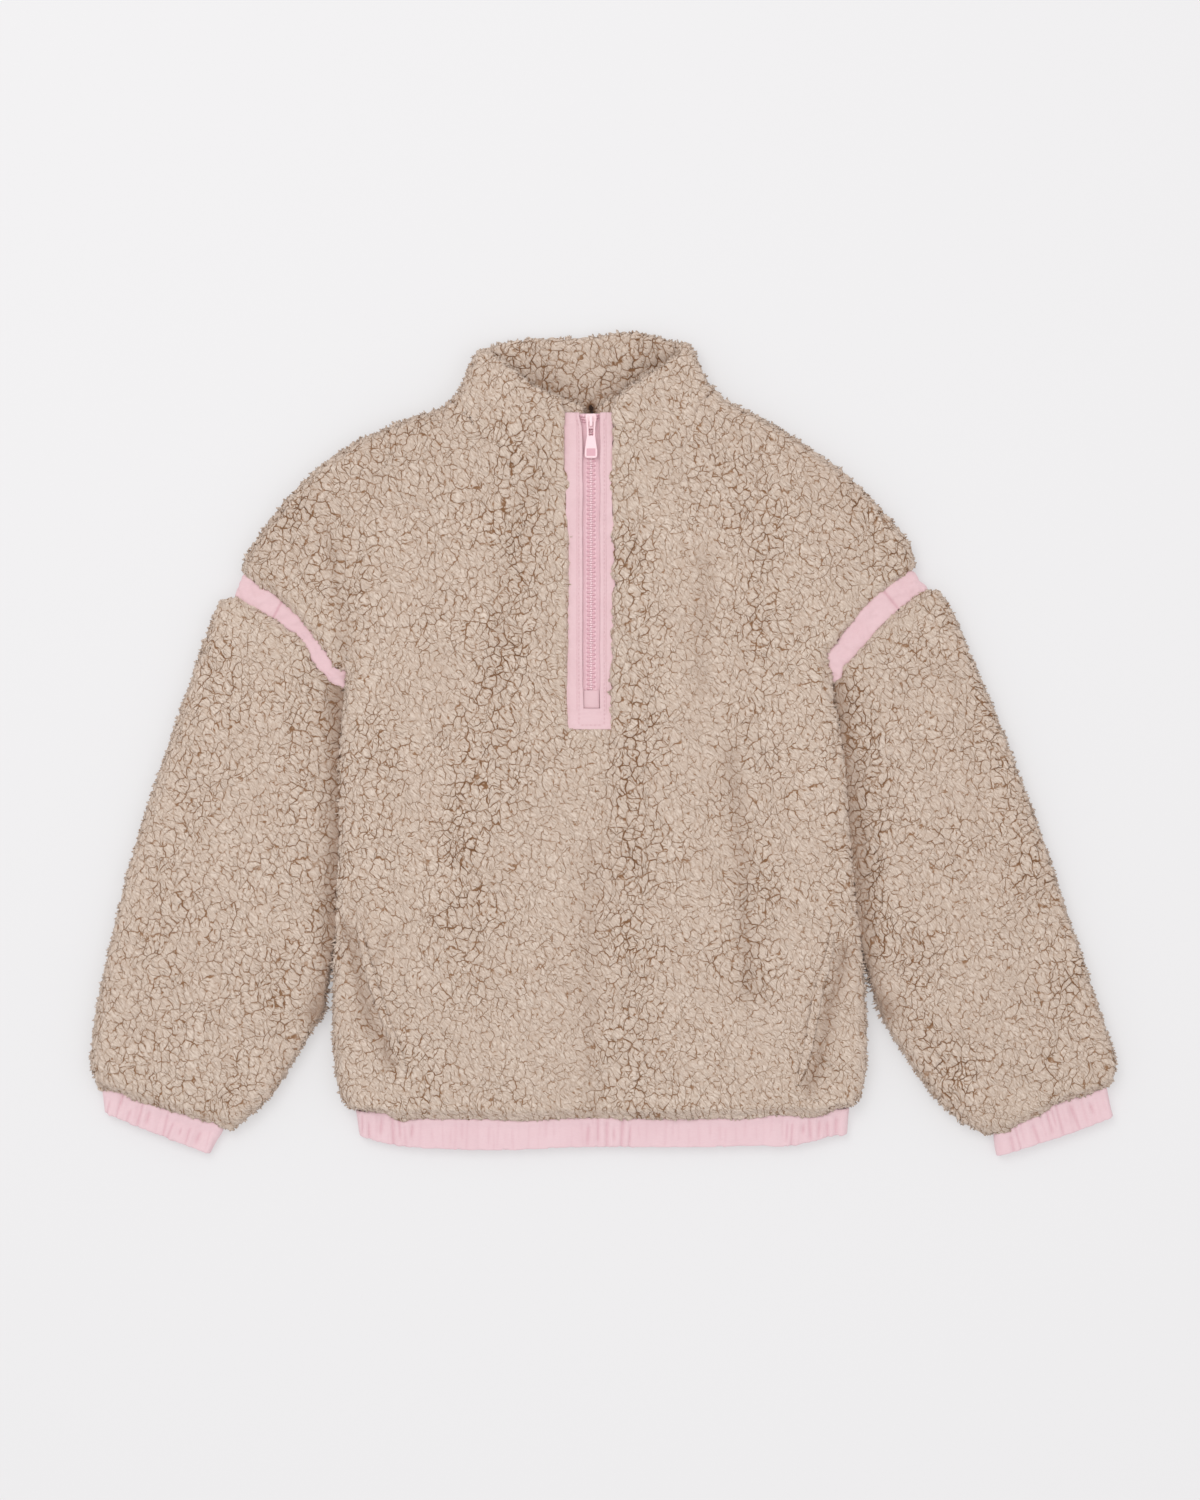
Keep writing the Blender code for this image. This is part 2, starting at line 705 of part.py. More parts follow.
def front_plan(inset):
    left = half_body("left", SLIT_LEFT_X, NECKLINE_LEFT, LOWER_ROWS, inset)
    right = half_body("right", SLIT_RIGHT_X, NECKLINE_RIGHT, LOWER_ROWS, inset)[:, ::-1]
    between = [left[:, -1] + (right[:, 0] - left[:, -1]) * share for share in (1 / 3, 2 / 3)]
    return np.concatenate([left, np.stack(between, axis=1), right], axis=1)


def make_front():
    seams = seam_lines((NECKLINE_LEFT, NECKLINE_RIGHT), slit=True)
    outer = front_plan(0.0)
    inner = front_plan(BODY.wall)
    keep = np.ones((outer.shape[0] - 1, outer.shape[1] - 1), bool)
    keep[LOWER_ROWS:, HALF_COLUMNS : HALF_COLUMNS + 3] = False
    return shell(
        "front",
        lifted(outer, outer_z(outer, BODY, 1, FOLD_LINES, seams, "body") + FLANGE_GAP),
        lifted(inner, inner_z(inner, BODY, 1, inner_folds(inner), "body") + FLANGE_GAP),
        ("sherpa", FLEECE),
        keep,
    )


def back_neck(which):
    """The back neckline from one neck point to the middle."""
    half = NECKLINE_BACK_LEFT if which == "left" else NECKLINE_BACK_RIGHT
    return [*half, Neck(BACK_SPLIT_X, BACK_NECK_Y)]


def make_back():
    seams = seam_lines((back_neck("left"), back_neck("right")), slit=False)

    def plan(inset):
        left, right = (
            half_body(which, BACK_SPLIT_X, back_neck(which), BACK_LOWER_ROWS, inset)
            for which in ("left", "right")
        )
        return np.concatenate([left, right[:, -2::-1]], axis=1)

    outer = plan(0.0)
    inner = plan(BODY.wall)
    height = outer_z(outer, BODY, -1, FOLD_LINES, seams) - FLANGE_GAP
    return shell(
        "back",
        lifted(outer, np.maximum(height, 0.0)),
        lifted(inner, inner_z(inner, BODY, -1, inner_folds(inner)) - FLANGE_GAP),
        ("sherpa", FLEECE),
    )


# ================================================================ sleeves, bands and cuffs
BAND_SHARES = bunched(13)
BAND_STARTS = 0.045  # shares of the armhole from the shoulder: it stops short of both folds
BAND_ENDS = 0.97


def band_foot(which):
    """The armhole band's lower edge, which the sleeve is sewn to."""
    return through(BAND_LOWER_LEFT if which == "left" else BAND_LOWER_RIGHT, BAND_SHARES)


def tube(name, layer, look, edges, steps, cloth=None, sink=None):
    """A flattened tube of cloth: a wall above and a wall below, joined at two folds.

    edges: head, foot, first fold and second fold, in plan.  steps: shares across and along.
    sink: how far the outer faces sink at each point across, for gathers.
    """
    head, foot, first, second = edges
    across, along = steps
    seams = [head, foot]
    rings = []
    for inset in (0.0, layer.wall):
        top = straight(head, trimmed(head, across, inset))
        low = straight(foot, trimmed(foot, across, inset))
        if inset:
            top, low = moved_towards(top, low, INNER_SHORT), moved_towards(low, top, INNER_SHORT)
        left, right = through(first, along), through(second, along)
        left, right = moved_towards(left, right, inset), moved_towards(right, left, inset)
        left[0], left[-1], right[0], right[-1] = top[0], low[0], top[-1], low[-1]
        plan = patch(top, low, left, right, across, along)
        folds = [left, right]
        walls = []
        for side in (1, -1):
            if inset:
                height = inner_z(plan, layer, side, folds, cloth)
            else:
                height = outer_z(plan, layer, side, folds, seams, cloth)
                if sink is not None:
                    height -= side * sink[None] * dome(distance_to(plan, folds), layer.fold)
            walls.append(lifted(plan, height))
        rings.append(ring_of(*walls))
    return shell(name, rings[0], rings[1], look, ring=True)


def below(line):
    """A seam's other side: the line moved towards the hem, by the gap of a seam."""
    return moved_towards(line, (0.0, -5000.0), SEAM_GAP)


def make_armhole_band(which):
    shares = BAND_STARTS + (BAND_ENDS - BAND_STARTS) * BAND_SHARES
    head = straight(below(armhole_line(which)[::-1]), shares)
    foot = band_foot(which)
    first = np.stack([head[0], foot[0]])
    second = np.stack([head[-1], foot[-1]])
    return tube(
        "armhole_band_" + which,
        ARM_BAND,
        ("woven", WOVEN),
        (head, foot, first, second),
        (BAND_SHARES, np.linspace(0.0, 1.0, 3)),
    )


def make_sleeve(which):
    left = which == "left"
    outer = np.array(SLEEVE_OUTER_LEFT if left else SLEEVE_OUTER_RIGHT)
    free = np.array(SLEEVE_FREE_LEFT if left else SLEEVE_FREE_RIGHT)
    leaves_y = LEAVES_BODY_LEFT_Y if left else LEAVES_BODY_RIGHT_Y
    head = np.concatenate([outer[:1], below(band_foot(which))[1:]])
    side = fine(OUTLINES[which].side, 40)
    beside = moved_towards(side, BODY_CENTRE, -SLEEVE_CLEARANCE)[::-1]
    beside = beside[(beside[:, 1] < head[-1, 1] - 8.0) & (beside[:, 1] > leaves_y)]
    inner = np.concatenate([head[-1:], beside[::-2][::-1], free])
    foot = np.stack([outer[-1], free[-1]])
    return tube(
        "sleeve_" + which,
        SLEEVE,
        ("sherpa", FLEECE),
        (head, foot, outer, inner),
        (BAND_SHARES, bunched(13)),
        cloth=which,
    )


def gathers_along(places, gathers):
    """How far gathers sink the cloth at these places."""
    sink = np.zeros(len(places))
    for gather in gathers:
        sink += gather.depth * np.exp(-(((places - gather.place) / GATHER_WIDTH) ** 2))
    return sink


def steps_between(gathers, start, end):
    """Places across a band: at each gather, halfway between them, and at the rounded ends."""
    sunk = np.array([g.place for g in gathers])
    places = np.concatenate([sunk, (sunk[1:] + sunk[:-1]) / 2.0])
    length = end - start
    ends = np.array([0.0, 0.6, 2.4, 5.0])
    ends = np.concatenate([start + ends, end - ends])
    near = np.abs(places[:, None] - ends[None]).min(axis=1) < 1.2
    places = places[~near & (places > start) & (places < end)]
    return (np.sort(np.concatenate([places, ends])) - start) / length


def make_cuff(which):
    left = which == "left"
    outer = SLEEVE_OUTER_LEFT if left else SLEEVE_OUTER_RIGHT
    free = SLEEVE_FREE_LEFT if left else SLEEVE_FREE_RIGHT
    head = straight(below(np.array([outer[-1], free[-1]])), [CUFF_STARTS, CUFF_ENDS])
    foot = fine(CUFF_FOOT_LEFT if left else CUFF_FOOT_RIGHT)
    length = length_of(head)
    across = steps_between(CUFF_GATHERS, 0.0, length)
    return tube(
        "cuff_" + which,
        CUFF,
        ("woven", WOVEN),
        (head, foot, np.stack([head[0], foot[0]]), np.stack([head[-1], foot[-1]])),
        (across, np.linspace(0.0, 1.0, 3)),
        sink=gathers_along(across * length, CUFF_GATHERS),
    )


def make_hem_band():
    seam_y = HEM_SEAM_Y - SEAM_GAP
    head = np.array(
        [(HEM_TOP_LEFT_X, SIDES[0].y - SEAM_GAP), (-160.0, seam_y), (160.0, seam_y),
         (HEM_TOP_RIGHT_X, SIDES[0].y - SEAM_GAP)]
    )
    foot = fine(HEM_FOOT)
    start, end = HEM_TOP_LEFT_X, HEM_TOP_RIGHT_X
    across = steps_between(HEM_GATHERS, start, end)
    places = start + across * (end - start)
    first = np.stack([head[0], foot[0]])
    second = np.stack([head[-1], foot[-1]])
    return tube(
        "hem_band",
        HEM,
        ("woven", WOVEN),
        (head, foot, first, second),
        (across, np.linspace(0.0, 1.0, 3)),
        sink=gathers_along(places, HEM_GATHERS),
    )


# ================================================================ collar
def collar_loop(foot, rim, outward, wall):
    """One section: up the outer face, round the turned top edge and down the inner face."""
    foot, rim, outward = (np.asarray(v, float) for v in (foot, rim, outward))
    rise = rim - foot
    rise /= np.linalg.norm(rise)
    outward = outward - rise * outward.dot(rise)
    outward /= np.linalg.norm(outward)
    half = wall / 2.0
    centre = rim - rise * half
    middle = (foot + centre) / 2.0
    turned = [
        centre + half * (outward * math.cos(a) + rise * math.sin(a))
        for a in np.linspace(0.0, math.pi, 5)
    ]
    return np.array(
        [foot + outward * half, middle + outward * half]
        + turned
        + [middle - outward * half, foot - outward * half]
    )


def make_collar():
    """Its wall runs from the zip round the left fold, the back and the right fold."""
    up = np.array([0.0, 0.0, 1.0])
    front_z = COLLAR_AXIS_Z + COLLAR_BEND
    back_z = COLLAR_AXIS_Z - COLLAR_BEND
    lining_z = front_z - (COLLAR_WALL - LINING_WALL) / 2.0
    loops = []

    def front_loops(neckline, rims, lining_x, edge_x):
        """From the fold to the zip.  Past edge_x only the inner layer runs on."""
        foot_line = moved_towards(through(neckline, NECK_SHARES), COLLAR_SIDE, COLLAR_GAP)
        knots = foot_line[1:]
        feet = np.insert(knots, range(1, len(knots)), (knots[1:] + knots[:-1]) / 2.0, axis=0)
        shares = np.linspace(0.0, 1.0, len(feet))
        found = []
        for share, foot, rim in zip(shares, feet, through(rims[:-1], shares)):
            if share == 1.0:
                foot[0] = rim[0] = edge_x
            lift = RIM_LIFT * math.sin(math.pi * min(share * 1.3, 0.5))
            found.append(
                collar_loop((*foot, front_z), (*rim, front_z + lift), up, COLLAR_WALL)
            )
        step = math.copysign(0.3, lining_x - edge_x)
        for x, rim_y in ((edge_x + step, rims[-2].y), (lining_x, rims[-1].y)):
            foot = (x, feet[-1][1], lining_z)
            found.append(collar_loop(foot, (x, rim_y, lining_z), up, LINING_WALL))
        return found

    def fold_loops(foot, front_rim, back_rim, outward_x):
        """Half a turn round the fold's axis, from the front wall to the back one."""
        found = []
        for turn in np.linspace(90.0, -90.0, 7)[1:-1]:
            angle = math.radians(turn)
            share = (90.0 - turn) / 180.0
            rim = np.array(front_rim) + (np.array(back_rim) - np.array(front_rim)) * share
            rise = rim - np.array(foot)
            rise /= np.linalg.norm(rise)
            out = np.array([rise[1], -rise[0]])
            out *= math.copysign(1.0, out[0] * outward_x)
            away = np.array([*(out * math.cos(angle)), math.sin(angle)])
            base = np.array([*foot, COLLAR_AXIS_Z]) + away * COLLAR_BEND
            top = np.array([*rim, COLLAR_AXIS_Z]) + away * COLLAR_BEND
            found.append(collar_loop(base, top, away, COLLAR_WALL))
        return found

    left = front_loops(NECKLINE_LEFT, RIM_FRONT_LEFT, RIM_FRONT_LEFT[-1].x, SLIT_LEFT_X)
    right = front_loops(NECKLINE_RIGHT, RIM_FRONT_RIGHT, RIM_FRONT_RIGHT[-1].x, SLIT_RIGHT_X)
    left[0] = collar_loop(
        (*FOLD_FEET[0], front_z), (*RIM_FRONT_LEFT[0], front_z), up, COLLAR_WALL
    )
    right[0] = collar_loop(
        (*FOLD_FEET[1], front_z), (*RIM_FRONT_RIGHT[0], front_z), up, COLLAR_WALL
    )
    loops += left[::-1]
    loops += fold_loops(FOLD_FEET[0], RIM_FRONT_LEFT[0], RIM_BACK[0], -1)
    back_line = np.array([*back_neck("left"), *back_neck("right")[-2::-1]])
    back_foot = moved_towards(fine(back_line[1:-1], 60), COLLAR_SIDE, COLLAR_GAP)
    for share in np.linspace(0.0, 1.0, 11):
        foot = through(back_foot, [share])[0]
        rim = through(RIM_BACK, [share])[0]
        if share == 0.0:
            foot = np.array(FOLD_FEET[0])
        if share == 1.0:
            foot = np.array(FOLD_FEET[1])
        loops.append(collar_loop((*foot, back_z), (*rim, back_z), -up, COLLAR_WALL))
    loops += fold_loops(FOLD_FEET[1], RIM_FRONT_RIGHT[0], RIM_BACK[-1], 1)[::-1]
    loops += right
    return loft("collar", loops, ("sherpa", FLEECE))


# ================================================================ zip
def strip_grid(xs, ys, z, thick):
    """Upper and lower grids of a flat strip that climbs with the zip."""
    x, y = np.meshgrid(xs, ys)
    plan = np.stack([x, y], axis=-1)
    low = lifted(plan, z + climb(y))
    high = lifted(plan, z + thick + climb(y))
    return high, low


def zip_rows(start, end):
    """Rows along the zip: few where it lies flat, more where it climbs."""
    return np.array([start, *np.linspace(CLIMB_FROM_Y, CLIMB_TO_Y, 7), end])


def make_facing():
    """One piece turned round the slit: two legs and a closed foot."""
    xs = [FACING_LEFT_X, FACING_LEFT_X + 1.2, CHANNEL_LEFT_X - 1.0, CHANNEL_LEFT_X,
          CHANNEL_RIGHT_X, CHANNEL_RIGHT_X + 1.0, FACING_RIGHT_X - 1.2, FACING_RIGHT_X]
    legs = zip_rows(CHANNEL_FOOT_Y, FACING_TOP_LEFT_Y)
    ys = np.concatenate([[FACING_FOOT_Y, FACING_FOOT_Y + 1.2], legs])
    high, low = strip_grid(xs, ys, FACING_Z, FACING_THICK)
    for column in (0, 3, 4, 7):  # the turned edges are a little lower
        high[:, column, 2] -= 0.7
    high[0, :, 2] = FACING_Z + FACING_THICK - 0.7
    for grid in (high, low):
        grid[-1, 4:, 1] = FACING_TOP_RIGHT_Y
    keep = np.ones((len(ys) - 1, len(xs) - 1), bool)
    keep[2:, 3] = False
    return shell("zip_facing", high, low, ("woven", WOVEN), keep)


def make_tape():
    xs = [ZIP_X - TAPE_HALF, ZIP_X, ZIP_X + TAPE_HALF]
    top_z = FACING_Z - 0.3
    high, low = strip_grid(xs, zip_rows(TAPE_FOOT_Y, TAPE_TOP_Y), top_z - TAPE_THICK, TAPE_THICK)
    return shell("zip_tape", high, low, ("tape", TAPE))


def make_end_patch():
    xs = [CHANNEL_LEFT_X + 0.4, CHANNEL_RIGHT_X - 0.4]
    ys = [CHANNEL_FOOT_Y + 0.4, PATCH_TOP_Y]
    high, low = strip_grid(xs, ys, FACING_Z, PATCH_THICK)
    return shell("zip_end_patch", high, low, ("woven", WOVEN))


def bar(form, low, high):
    """A box between two corners, added to a bmesh, in millimetres."""
    made = bmesh.ops.create_cube(form, size=1.0)["verts"]
    low, high = Vector(low), Vector(high)
    for vert in made:
        vert.co = (low + high) / 2 + Vector(a * b for a, b in zip(vert.co, high - low))
    return made


def union_of(name, pieces, look, origin):
    """One body from several closed meshes that overlap, each given as a bmesh in mm."""
    made = []
    for index, form in enumerate(pieces):
        mesh = bpy.data.meshes.new(f"{name}_{index}")
        bmesh.ops.recalc_face_normals(form, faces=form.faces)
        bmesh.ops.translate(form, verts=form.verts, vec=-Vector(origin))
        bmesh.ops.scale(form, verts=form.verts, vec=(MM, MM, MM))
        form.to_mesh(mesh)
        form.free()
        piece = bpy.data.objects.new(name if index == 0 else f"{name}_add_{index}", mesh)
        piece.location = Vector(origin) * MM
        made.append(piece)
    base = made[0]
    GARMENT.objects.link(base)
    base.data.materials.append(material(*look))
    for piece in made[1:]:
        HELPERS.objects.link(piece)
        piece.hide_render = True
        piece.display_type = "WIRE"
        joined = base.modifiers.new(piece.name, "BOOLEAN")
        joined.operation = "UNION"
        joined.object = piece
    return base


def slider_height():
    """Height of the tape where the slider sits."""
    return FACING_Z - 0.3 + float(climb(SLIDER_Y))


def axle_centre():
    """The pull tab's hinge: inside the bridge, across the zip."""
    top = slider_height() + 0.3 + SLIDER_HIGH
    return (ZIP_X, SLIDER_Y, top + (BRIDGE_HIGH - BRIDGE_THICK) / 2)


def make_slider():
    """A tapered body with a bridge over it, which carries the pull tab's axle."""
    base_z = slider_height() + 0.3
    top_z = base_z + SLIDER_HIGH
    head_y = SLIDER_Y + SLIDER_LENGTH / 2
    foot_y = SLIDER_Y - SLIDER_LENGTH / 2
    body = bmesh.new()
    for vert in bar(body, (ZIP_X - 1, foot_y, base_z), (ZIP_X + 1, head_y, top_z)):
        half = SLIDER_WIDE / 2 if vert.co.y > SLIDER_Y else SLIDER_NARROW / 2
        vert.co.x = ZIP_X + math.copysign(half, vert.co.x - ZIP_X)
    upright = [e for e in body.edges if abs(e.verts[0].co.z - e.verts[1].co.z) > 1.0]
    bmesh.ops.bevel(
        body, geom=upright, offset=SLIDER_CORNER, segments=3, profile=0.5, affect="EDGES"
    )
    rims = [e for e in body.edges if min(v.co.z for v in e.verts) > top_z - 0.01]
    bmesh.ops.bevel(body, geom=rims, offset=SLIDER_RIM, segments=1, affect="EDGES")
    half = BRIDGE_WIDE / 2
    start, end = SLIDER_Y - BRIDGE_LENGTH / 2, SLIDER_Y + BRIDGE_LENGTH / 2
    crown = top_z + BRIDGE_HIGH
    pieces = [body]
    for low, high in (
        ((ZIP_X - half, start, top_z - 0.5), (ZIP_X + half, start + BRIDGE_POST, crown - 0.3)),
        ((ZIP_X - half, end - BRIDGE_POST, top_z - 0.5), (ZIP_X + half, end, crown - 0.3)),
        ((ZIP_X - half, start, crown - BRIDGE_THICK), (ZIP_X + half, end, crown)),
    ):
        piece = bmesh.new()
        bar(piece, low, high)
        pieces.append(piece)
    return union_of("slider", pieces, ("painted", PAINTED), (ZIP_X, SLIDER_Y, base_z))


def tab_outline():
    """Half widths of the pull tab against the distance from its axle."""
    arm_end = TAB_ARM_LENGTH
    return (
        (arm_end, TAB_WIDE_TOP / 2 - 0.8),
        (arm_end + 0.8, TAB_WIDE_TOP / 2),
        (TAB_LENGTH - 6.0, TAB_WIDE_FOOT / 2 - 0.2),
        (TAB_LENGTH - 1.6, TAB_WIDE_FOOT / 2),
        (TAB_LENGTH - 0.4, TAB_WIDE_FOOT / 2 - 0.7),
        (TAB_LENGTH, TAB_WIDE_FOOT / 2 - 1.9),
    )


def make_pull_tab():
    """An axle through the bridge, two arms that straddle it and a flat plate."""
    centre = Vector(axle_centre())
    half = TAB_THICK / 2
    outline = tab_outline()
    plate = bmesh.new()
    corners = [(-w, -d) for d, w in outline] + [(w, -d) for d, w in reversed(outline)]
    verts = [plate.verts.new((x, y, -half)) for x, y in corners]
    face = plate.faces.new(verts)
    grown = bmesh.ops.extrude_face_region(plate, geom=[face])["geom"]
    moved = [v for v in grown if isinstance(v, bmesh.types.BMVert)]
    bmesh.ops.translate(plate, verts=moved, vec=(0, 0, TAB_THICK))
    axle = bmesh.new()
    bmesh.ops.create_cone(
        axle, cap_ends=True, segments=12, radius1=AXLE_RADIUS, radius2=AXLE_RADIUS,
        depth=AXLE_LENGTH,
    )
    for vert in axle.verts:
        vert.co = Vector((vert.co.z, vert.co.x, vert.co.y))
    pieces = [plate, axle]
    for side in (-1, 1):
        arm = bmesh.new()
        for vert in bar(arm, (0, -TAB_ARM_LENGTH - TAB_ARM_LAP, -half), (1, AXLE_RADIUS, half)):
            inner = TAB_ARM_GAP_TOP if vert.co.y > -1.0 else TAB_ARM_GAP_FOOT
            vert.co.x = side * (inner + TAB_ARM_WIDE if vert.co.x > 0.5 else inner)
        pieces.append(arm)
    droop = TAB_DROOP
    for form in pieces:
        for vert in form.verts:
            x, y, z = vert.co
            turned_y = y * math.cos(droop) - z * math.sin(droop)
            turned_z = y * math.sin(droop) + z * math.cos(droop)
            vert.co = centre + Vector((x, turned_y, turned_z))
    return union_of("pull_tab", pieces, ("painted", PAINTED), tuple(centre))


# ================================================================ pockets
def make_pocket(which, front):
    """The rolled edge of a pocket mouth, which lies on the front."""
    mouth = MOUTH_LEFT if which == "left" else MOUTH_RIGHT
    under = bmesh.new()
    under.from_mesh(front.data)
    tree = BVHTree.FromBMesh(under)
    under.free()
    line = fine(mouth, 15)
    left_edge = moved_towards(line, (-5000.0, 0.0), MOUTH_WIDE / 2)
    right_edge = moved_towards(line, (5000.0, 0.0), MOUTH_WIDE / 2)
    loops = []
    for share, a, b in zip(np.linspace(0.0, 1.0, len(line)), left_edge, right_edge):
        full = MOUTH_END + (1.0 - MOUTH_END) * math.sin(math.pi * share) ** 0.5
        points = []
        for across, high in MOUTH_SECTION:
            x, y = a + (b - a) * (0.5 + (across - 0.5) * full)
            hit = tree.ray_cast(Vector((x * MM, y * MM, 0.1)), Vector((0, 0, -1)))[0]
            z = hit.z / MM + MOUTH_CLEARANCE + MOUTH_HIGH * full * high
            points.append((x, y, z))
        loops.append(np.array(points))
    return loft("pocket_" + which, loops, ("sherpa", FLEECE))


# ================================================================ the garment
for old in list(bpy.data.objects):
    bpy.data.objects.remove(old, do_unlink=True)
GARMENT = bpy.data.collections.new("pullover")
HELPERS = bpy.data.collections.new("helpers")
for collection in (GARMENT, HELPERS):
    bpy.context.scene.collection.children.link(collection)

front_panel = make_front()
make_back()
make_collar()
for hand in ("left", "right"):
    make_armhole_band(hand)
    make_sleeve(hand)
    make_cuff(hand)
    make_pocket(hand, front_panel)
make_hem_band()
make_facing()
make_tape()
make_end_patch()
make_slider()
make_pull_tab()
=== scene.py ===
"""Looks for the child's half-zip sherpa pullover, lying flat on its back panel."""

import math

import bmesh
import bpy
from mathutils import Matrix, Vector
import numpy as np


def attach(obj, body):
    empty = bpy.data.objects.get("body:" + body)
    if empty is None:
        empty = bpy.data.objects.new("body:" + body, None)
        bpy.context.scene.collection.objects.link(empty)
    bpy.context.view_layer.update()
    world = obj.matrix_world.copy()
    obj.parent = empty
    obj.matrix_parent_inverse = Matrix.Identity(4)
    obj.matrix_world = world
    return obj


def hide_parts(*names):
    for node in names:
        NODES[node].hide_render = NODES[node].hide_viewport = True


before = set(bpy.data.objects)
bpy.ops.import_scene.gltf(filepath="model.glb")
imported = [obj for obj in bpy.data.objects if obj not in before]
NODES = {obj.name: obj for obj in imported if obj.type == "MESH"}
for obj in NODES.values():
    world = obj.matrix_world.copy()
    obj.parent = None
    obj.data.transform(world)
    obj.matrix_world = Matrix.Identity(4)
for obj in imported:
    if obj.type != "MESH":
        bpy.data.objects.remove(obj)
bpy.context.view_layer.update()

MM = 0.001
PX = 0.72 * MM  # one pixel of the photograph, in the garment's plane
PX_X, PX_Y = 603.0, 743.0  # the pixel over the frame's origin
ZIP_X = -8.6 * MM
SIDES = ("left", "right")


def to_px(co):
    """The photograph's pixels under these points."""
    return np.stack([co[:, 0] / PX + PX_X, PX_Y - co[:, 1] / PX], axis=1)


# ======== soft fields in numpy
def ramp(value, start, end):
    """A soft step from 0 at start to 1 at end."""
    t = np.clip((np.asarray(value, float) - start) / (end - start), 0.0, 1.0)
    return t * t * (3.0 - 2.0 * t)


def ramp_mm(value, start, end):
    return ramp(value, start * MM, end * MM)


def bell(away, wide):
    return np.exp(-((away / wide) ** 2))


def waves(co, length, seed, count=22):
    """A soft random field, mostly within -1 to 1, whose swells are about this long."""
    rng = np.random.default_rng(seed)
    ways = rng.normal(size=(count, 3))
    ways /= np.linalg.norm(ways, axis=1)[:, None]
    ways *= 2.0 * math.pi / length * rng.uniform(0.7, 1.35, (count, 1))
    starts = rng.uniform(0.0, 2.0 * math.pi, count)
    return math.sqrt(2.0 / count) * np.cos(co @ ways.T + starts).sum(axis=1)


def spots(x, y):
    return np.stack([x, y, 0 * x], axis=1)


def near_line(xy, line):
    """Distance to a broken line in plan."""
    line = np.asarray(line, float)
    best = np.full(len(xy), 1e9)
    for a, b in zip(line[:-1], line[1:]):
        way = b - a
        t = np.clip(((xy - a) @ way) / np.linalg.norm(way) ** 2, 0.0, 1.0)
        best = np.minimum(best, np.linalg.norm(xy - a - t[:, None] * way, axis=1))
    return best


def nearest(xy, lines, unit=1.0):
    """Distance to the nearest of some lines, whose points are in this unit."""
    return np.min([near_line(xy, np.array(line) * unit) for line in lines], axis=0)


# ======== meshes
def add_object(name, data):
    data.name = name
    obj = bpy.data.objects.new(name, data)
    bpy.context.scene.collection.objects.link(obj)
    return obj


def new_mesh(name, verts, faces):
    mesh = bpy.data.meshes.new(name)
    mesh.from_pydata(verts, [], faces)
    return mesh


def baked(obj):
    """The object's mesh with its modifiers applied; the object goes."""
    graph = bpy.context.evaluated_depsgraph_get()
    mesh = bpy.data.meshes.new_from_object(obj.evaluated_get(graph))
    old = obj.data
    bpy.data.objects.remove(obj)
    if old.users == 0:
        bpy.data.meshes.remove(old)
    return mesh


def edited(mesh, change):
    """The mesh, changed in bmesh."""
    work = bmesh.new()
    work.from_mesh(mesh)
    change(work)
    work.to_mesh(mesh)
    work.free()
    return mesh


def facing_out(mesh):
    return edited(mesh, lambda work: bmesh.ops.recalc_face_normals(work, faces=work.faces))


def points_of(mesh, field="co"):
    values = np.empty(len(mesh.vertices) * 3)
    mesh.vertices.foreach_get(field, values)
    return values.reshape(-1, 3)


def normals_of(mesh):
    return points_of(mesh, "normal")


def move_points(mesh, co):
    mesh.vertices.foreach_set("co", np.ascontiguousarray(co, dtype=np.float32).ravel())
    mesh.update()


def store(mesh, name, values):
    values = np.asarray(values, np.float32)
    kind, field = ("FLOAT", "value") if values.ndim == 1 else ("FLOAT_VECTOR", "vector")
    layer = mesh.attributes.new(name, kind, "POINT")
    layer.data.foreach_set(field, values.ravel())


def stored(mesh, name):
    layer = mesh.attributes[name]
    wide, field = (1, "value") if layer.data_type == "FLOAT" else (3, "vector")
    values = np.empty(len(mesh.vertices) * wide)
    layer.data.foreach_get(field, values)
    return values if wide == 1 else values.reshape(-1, 3)


def part_of(node, wanted):
    """Some of a node's faces, closed at their open ends."""
    work = bmesh.new()
    work.from_mesh(NODES[node].data)
    bmesh.ops.remove_doubles(work, verts=work.verts, dist=1e-6)
    middles = np.array([face.calc_center_median() for face in work.faces])
    normals = np.array([face.normal for face in work.faces])
    gone = [face for face, kept in zip(work.faces, wanted(middles, normals)) if not kept]
    bmesh.ops.delete(work, geom=gone, context="FACES")
    open_edges = [edge for edge in work.edges if edge.is_boundary]
    bmesh.ops.holes_fill(work, edges=open_edges, sides=0)
    open_edges = [edge for edge in work.edges if edge.is_boundary]
    if open_edges:
        bmesh.ops.triangle_fill(work, use_beauty=True, edges=open_edges)
    bmesh.ops.triangulate(work, faces=[face for face in work.faces if len(face.verts) > 4])
    mesh = bpy.data.meshes.new("part")
    work.to_mesh(mesh)
    work.free()
    return mesh


def finer(source, voxel, smoothing=3):
    """A finer, rounder mesh on the form of another one."""
    obj = add_object("finer", source)
    obj.data.materials.clear()
    remesh = obj.modifiers.new("voxels", "REMESH")
    remesh.mode = "VOXEL"
    remesh.voxel_size = voxel * MM
    smooth = obj.modifiers.new("smooth", "SMOOTH")
    smooth.factor = 0.5
    smooth.iterations = smoothing
    return baked(obj)


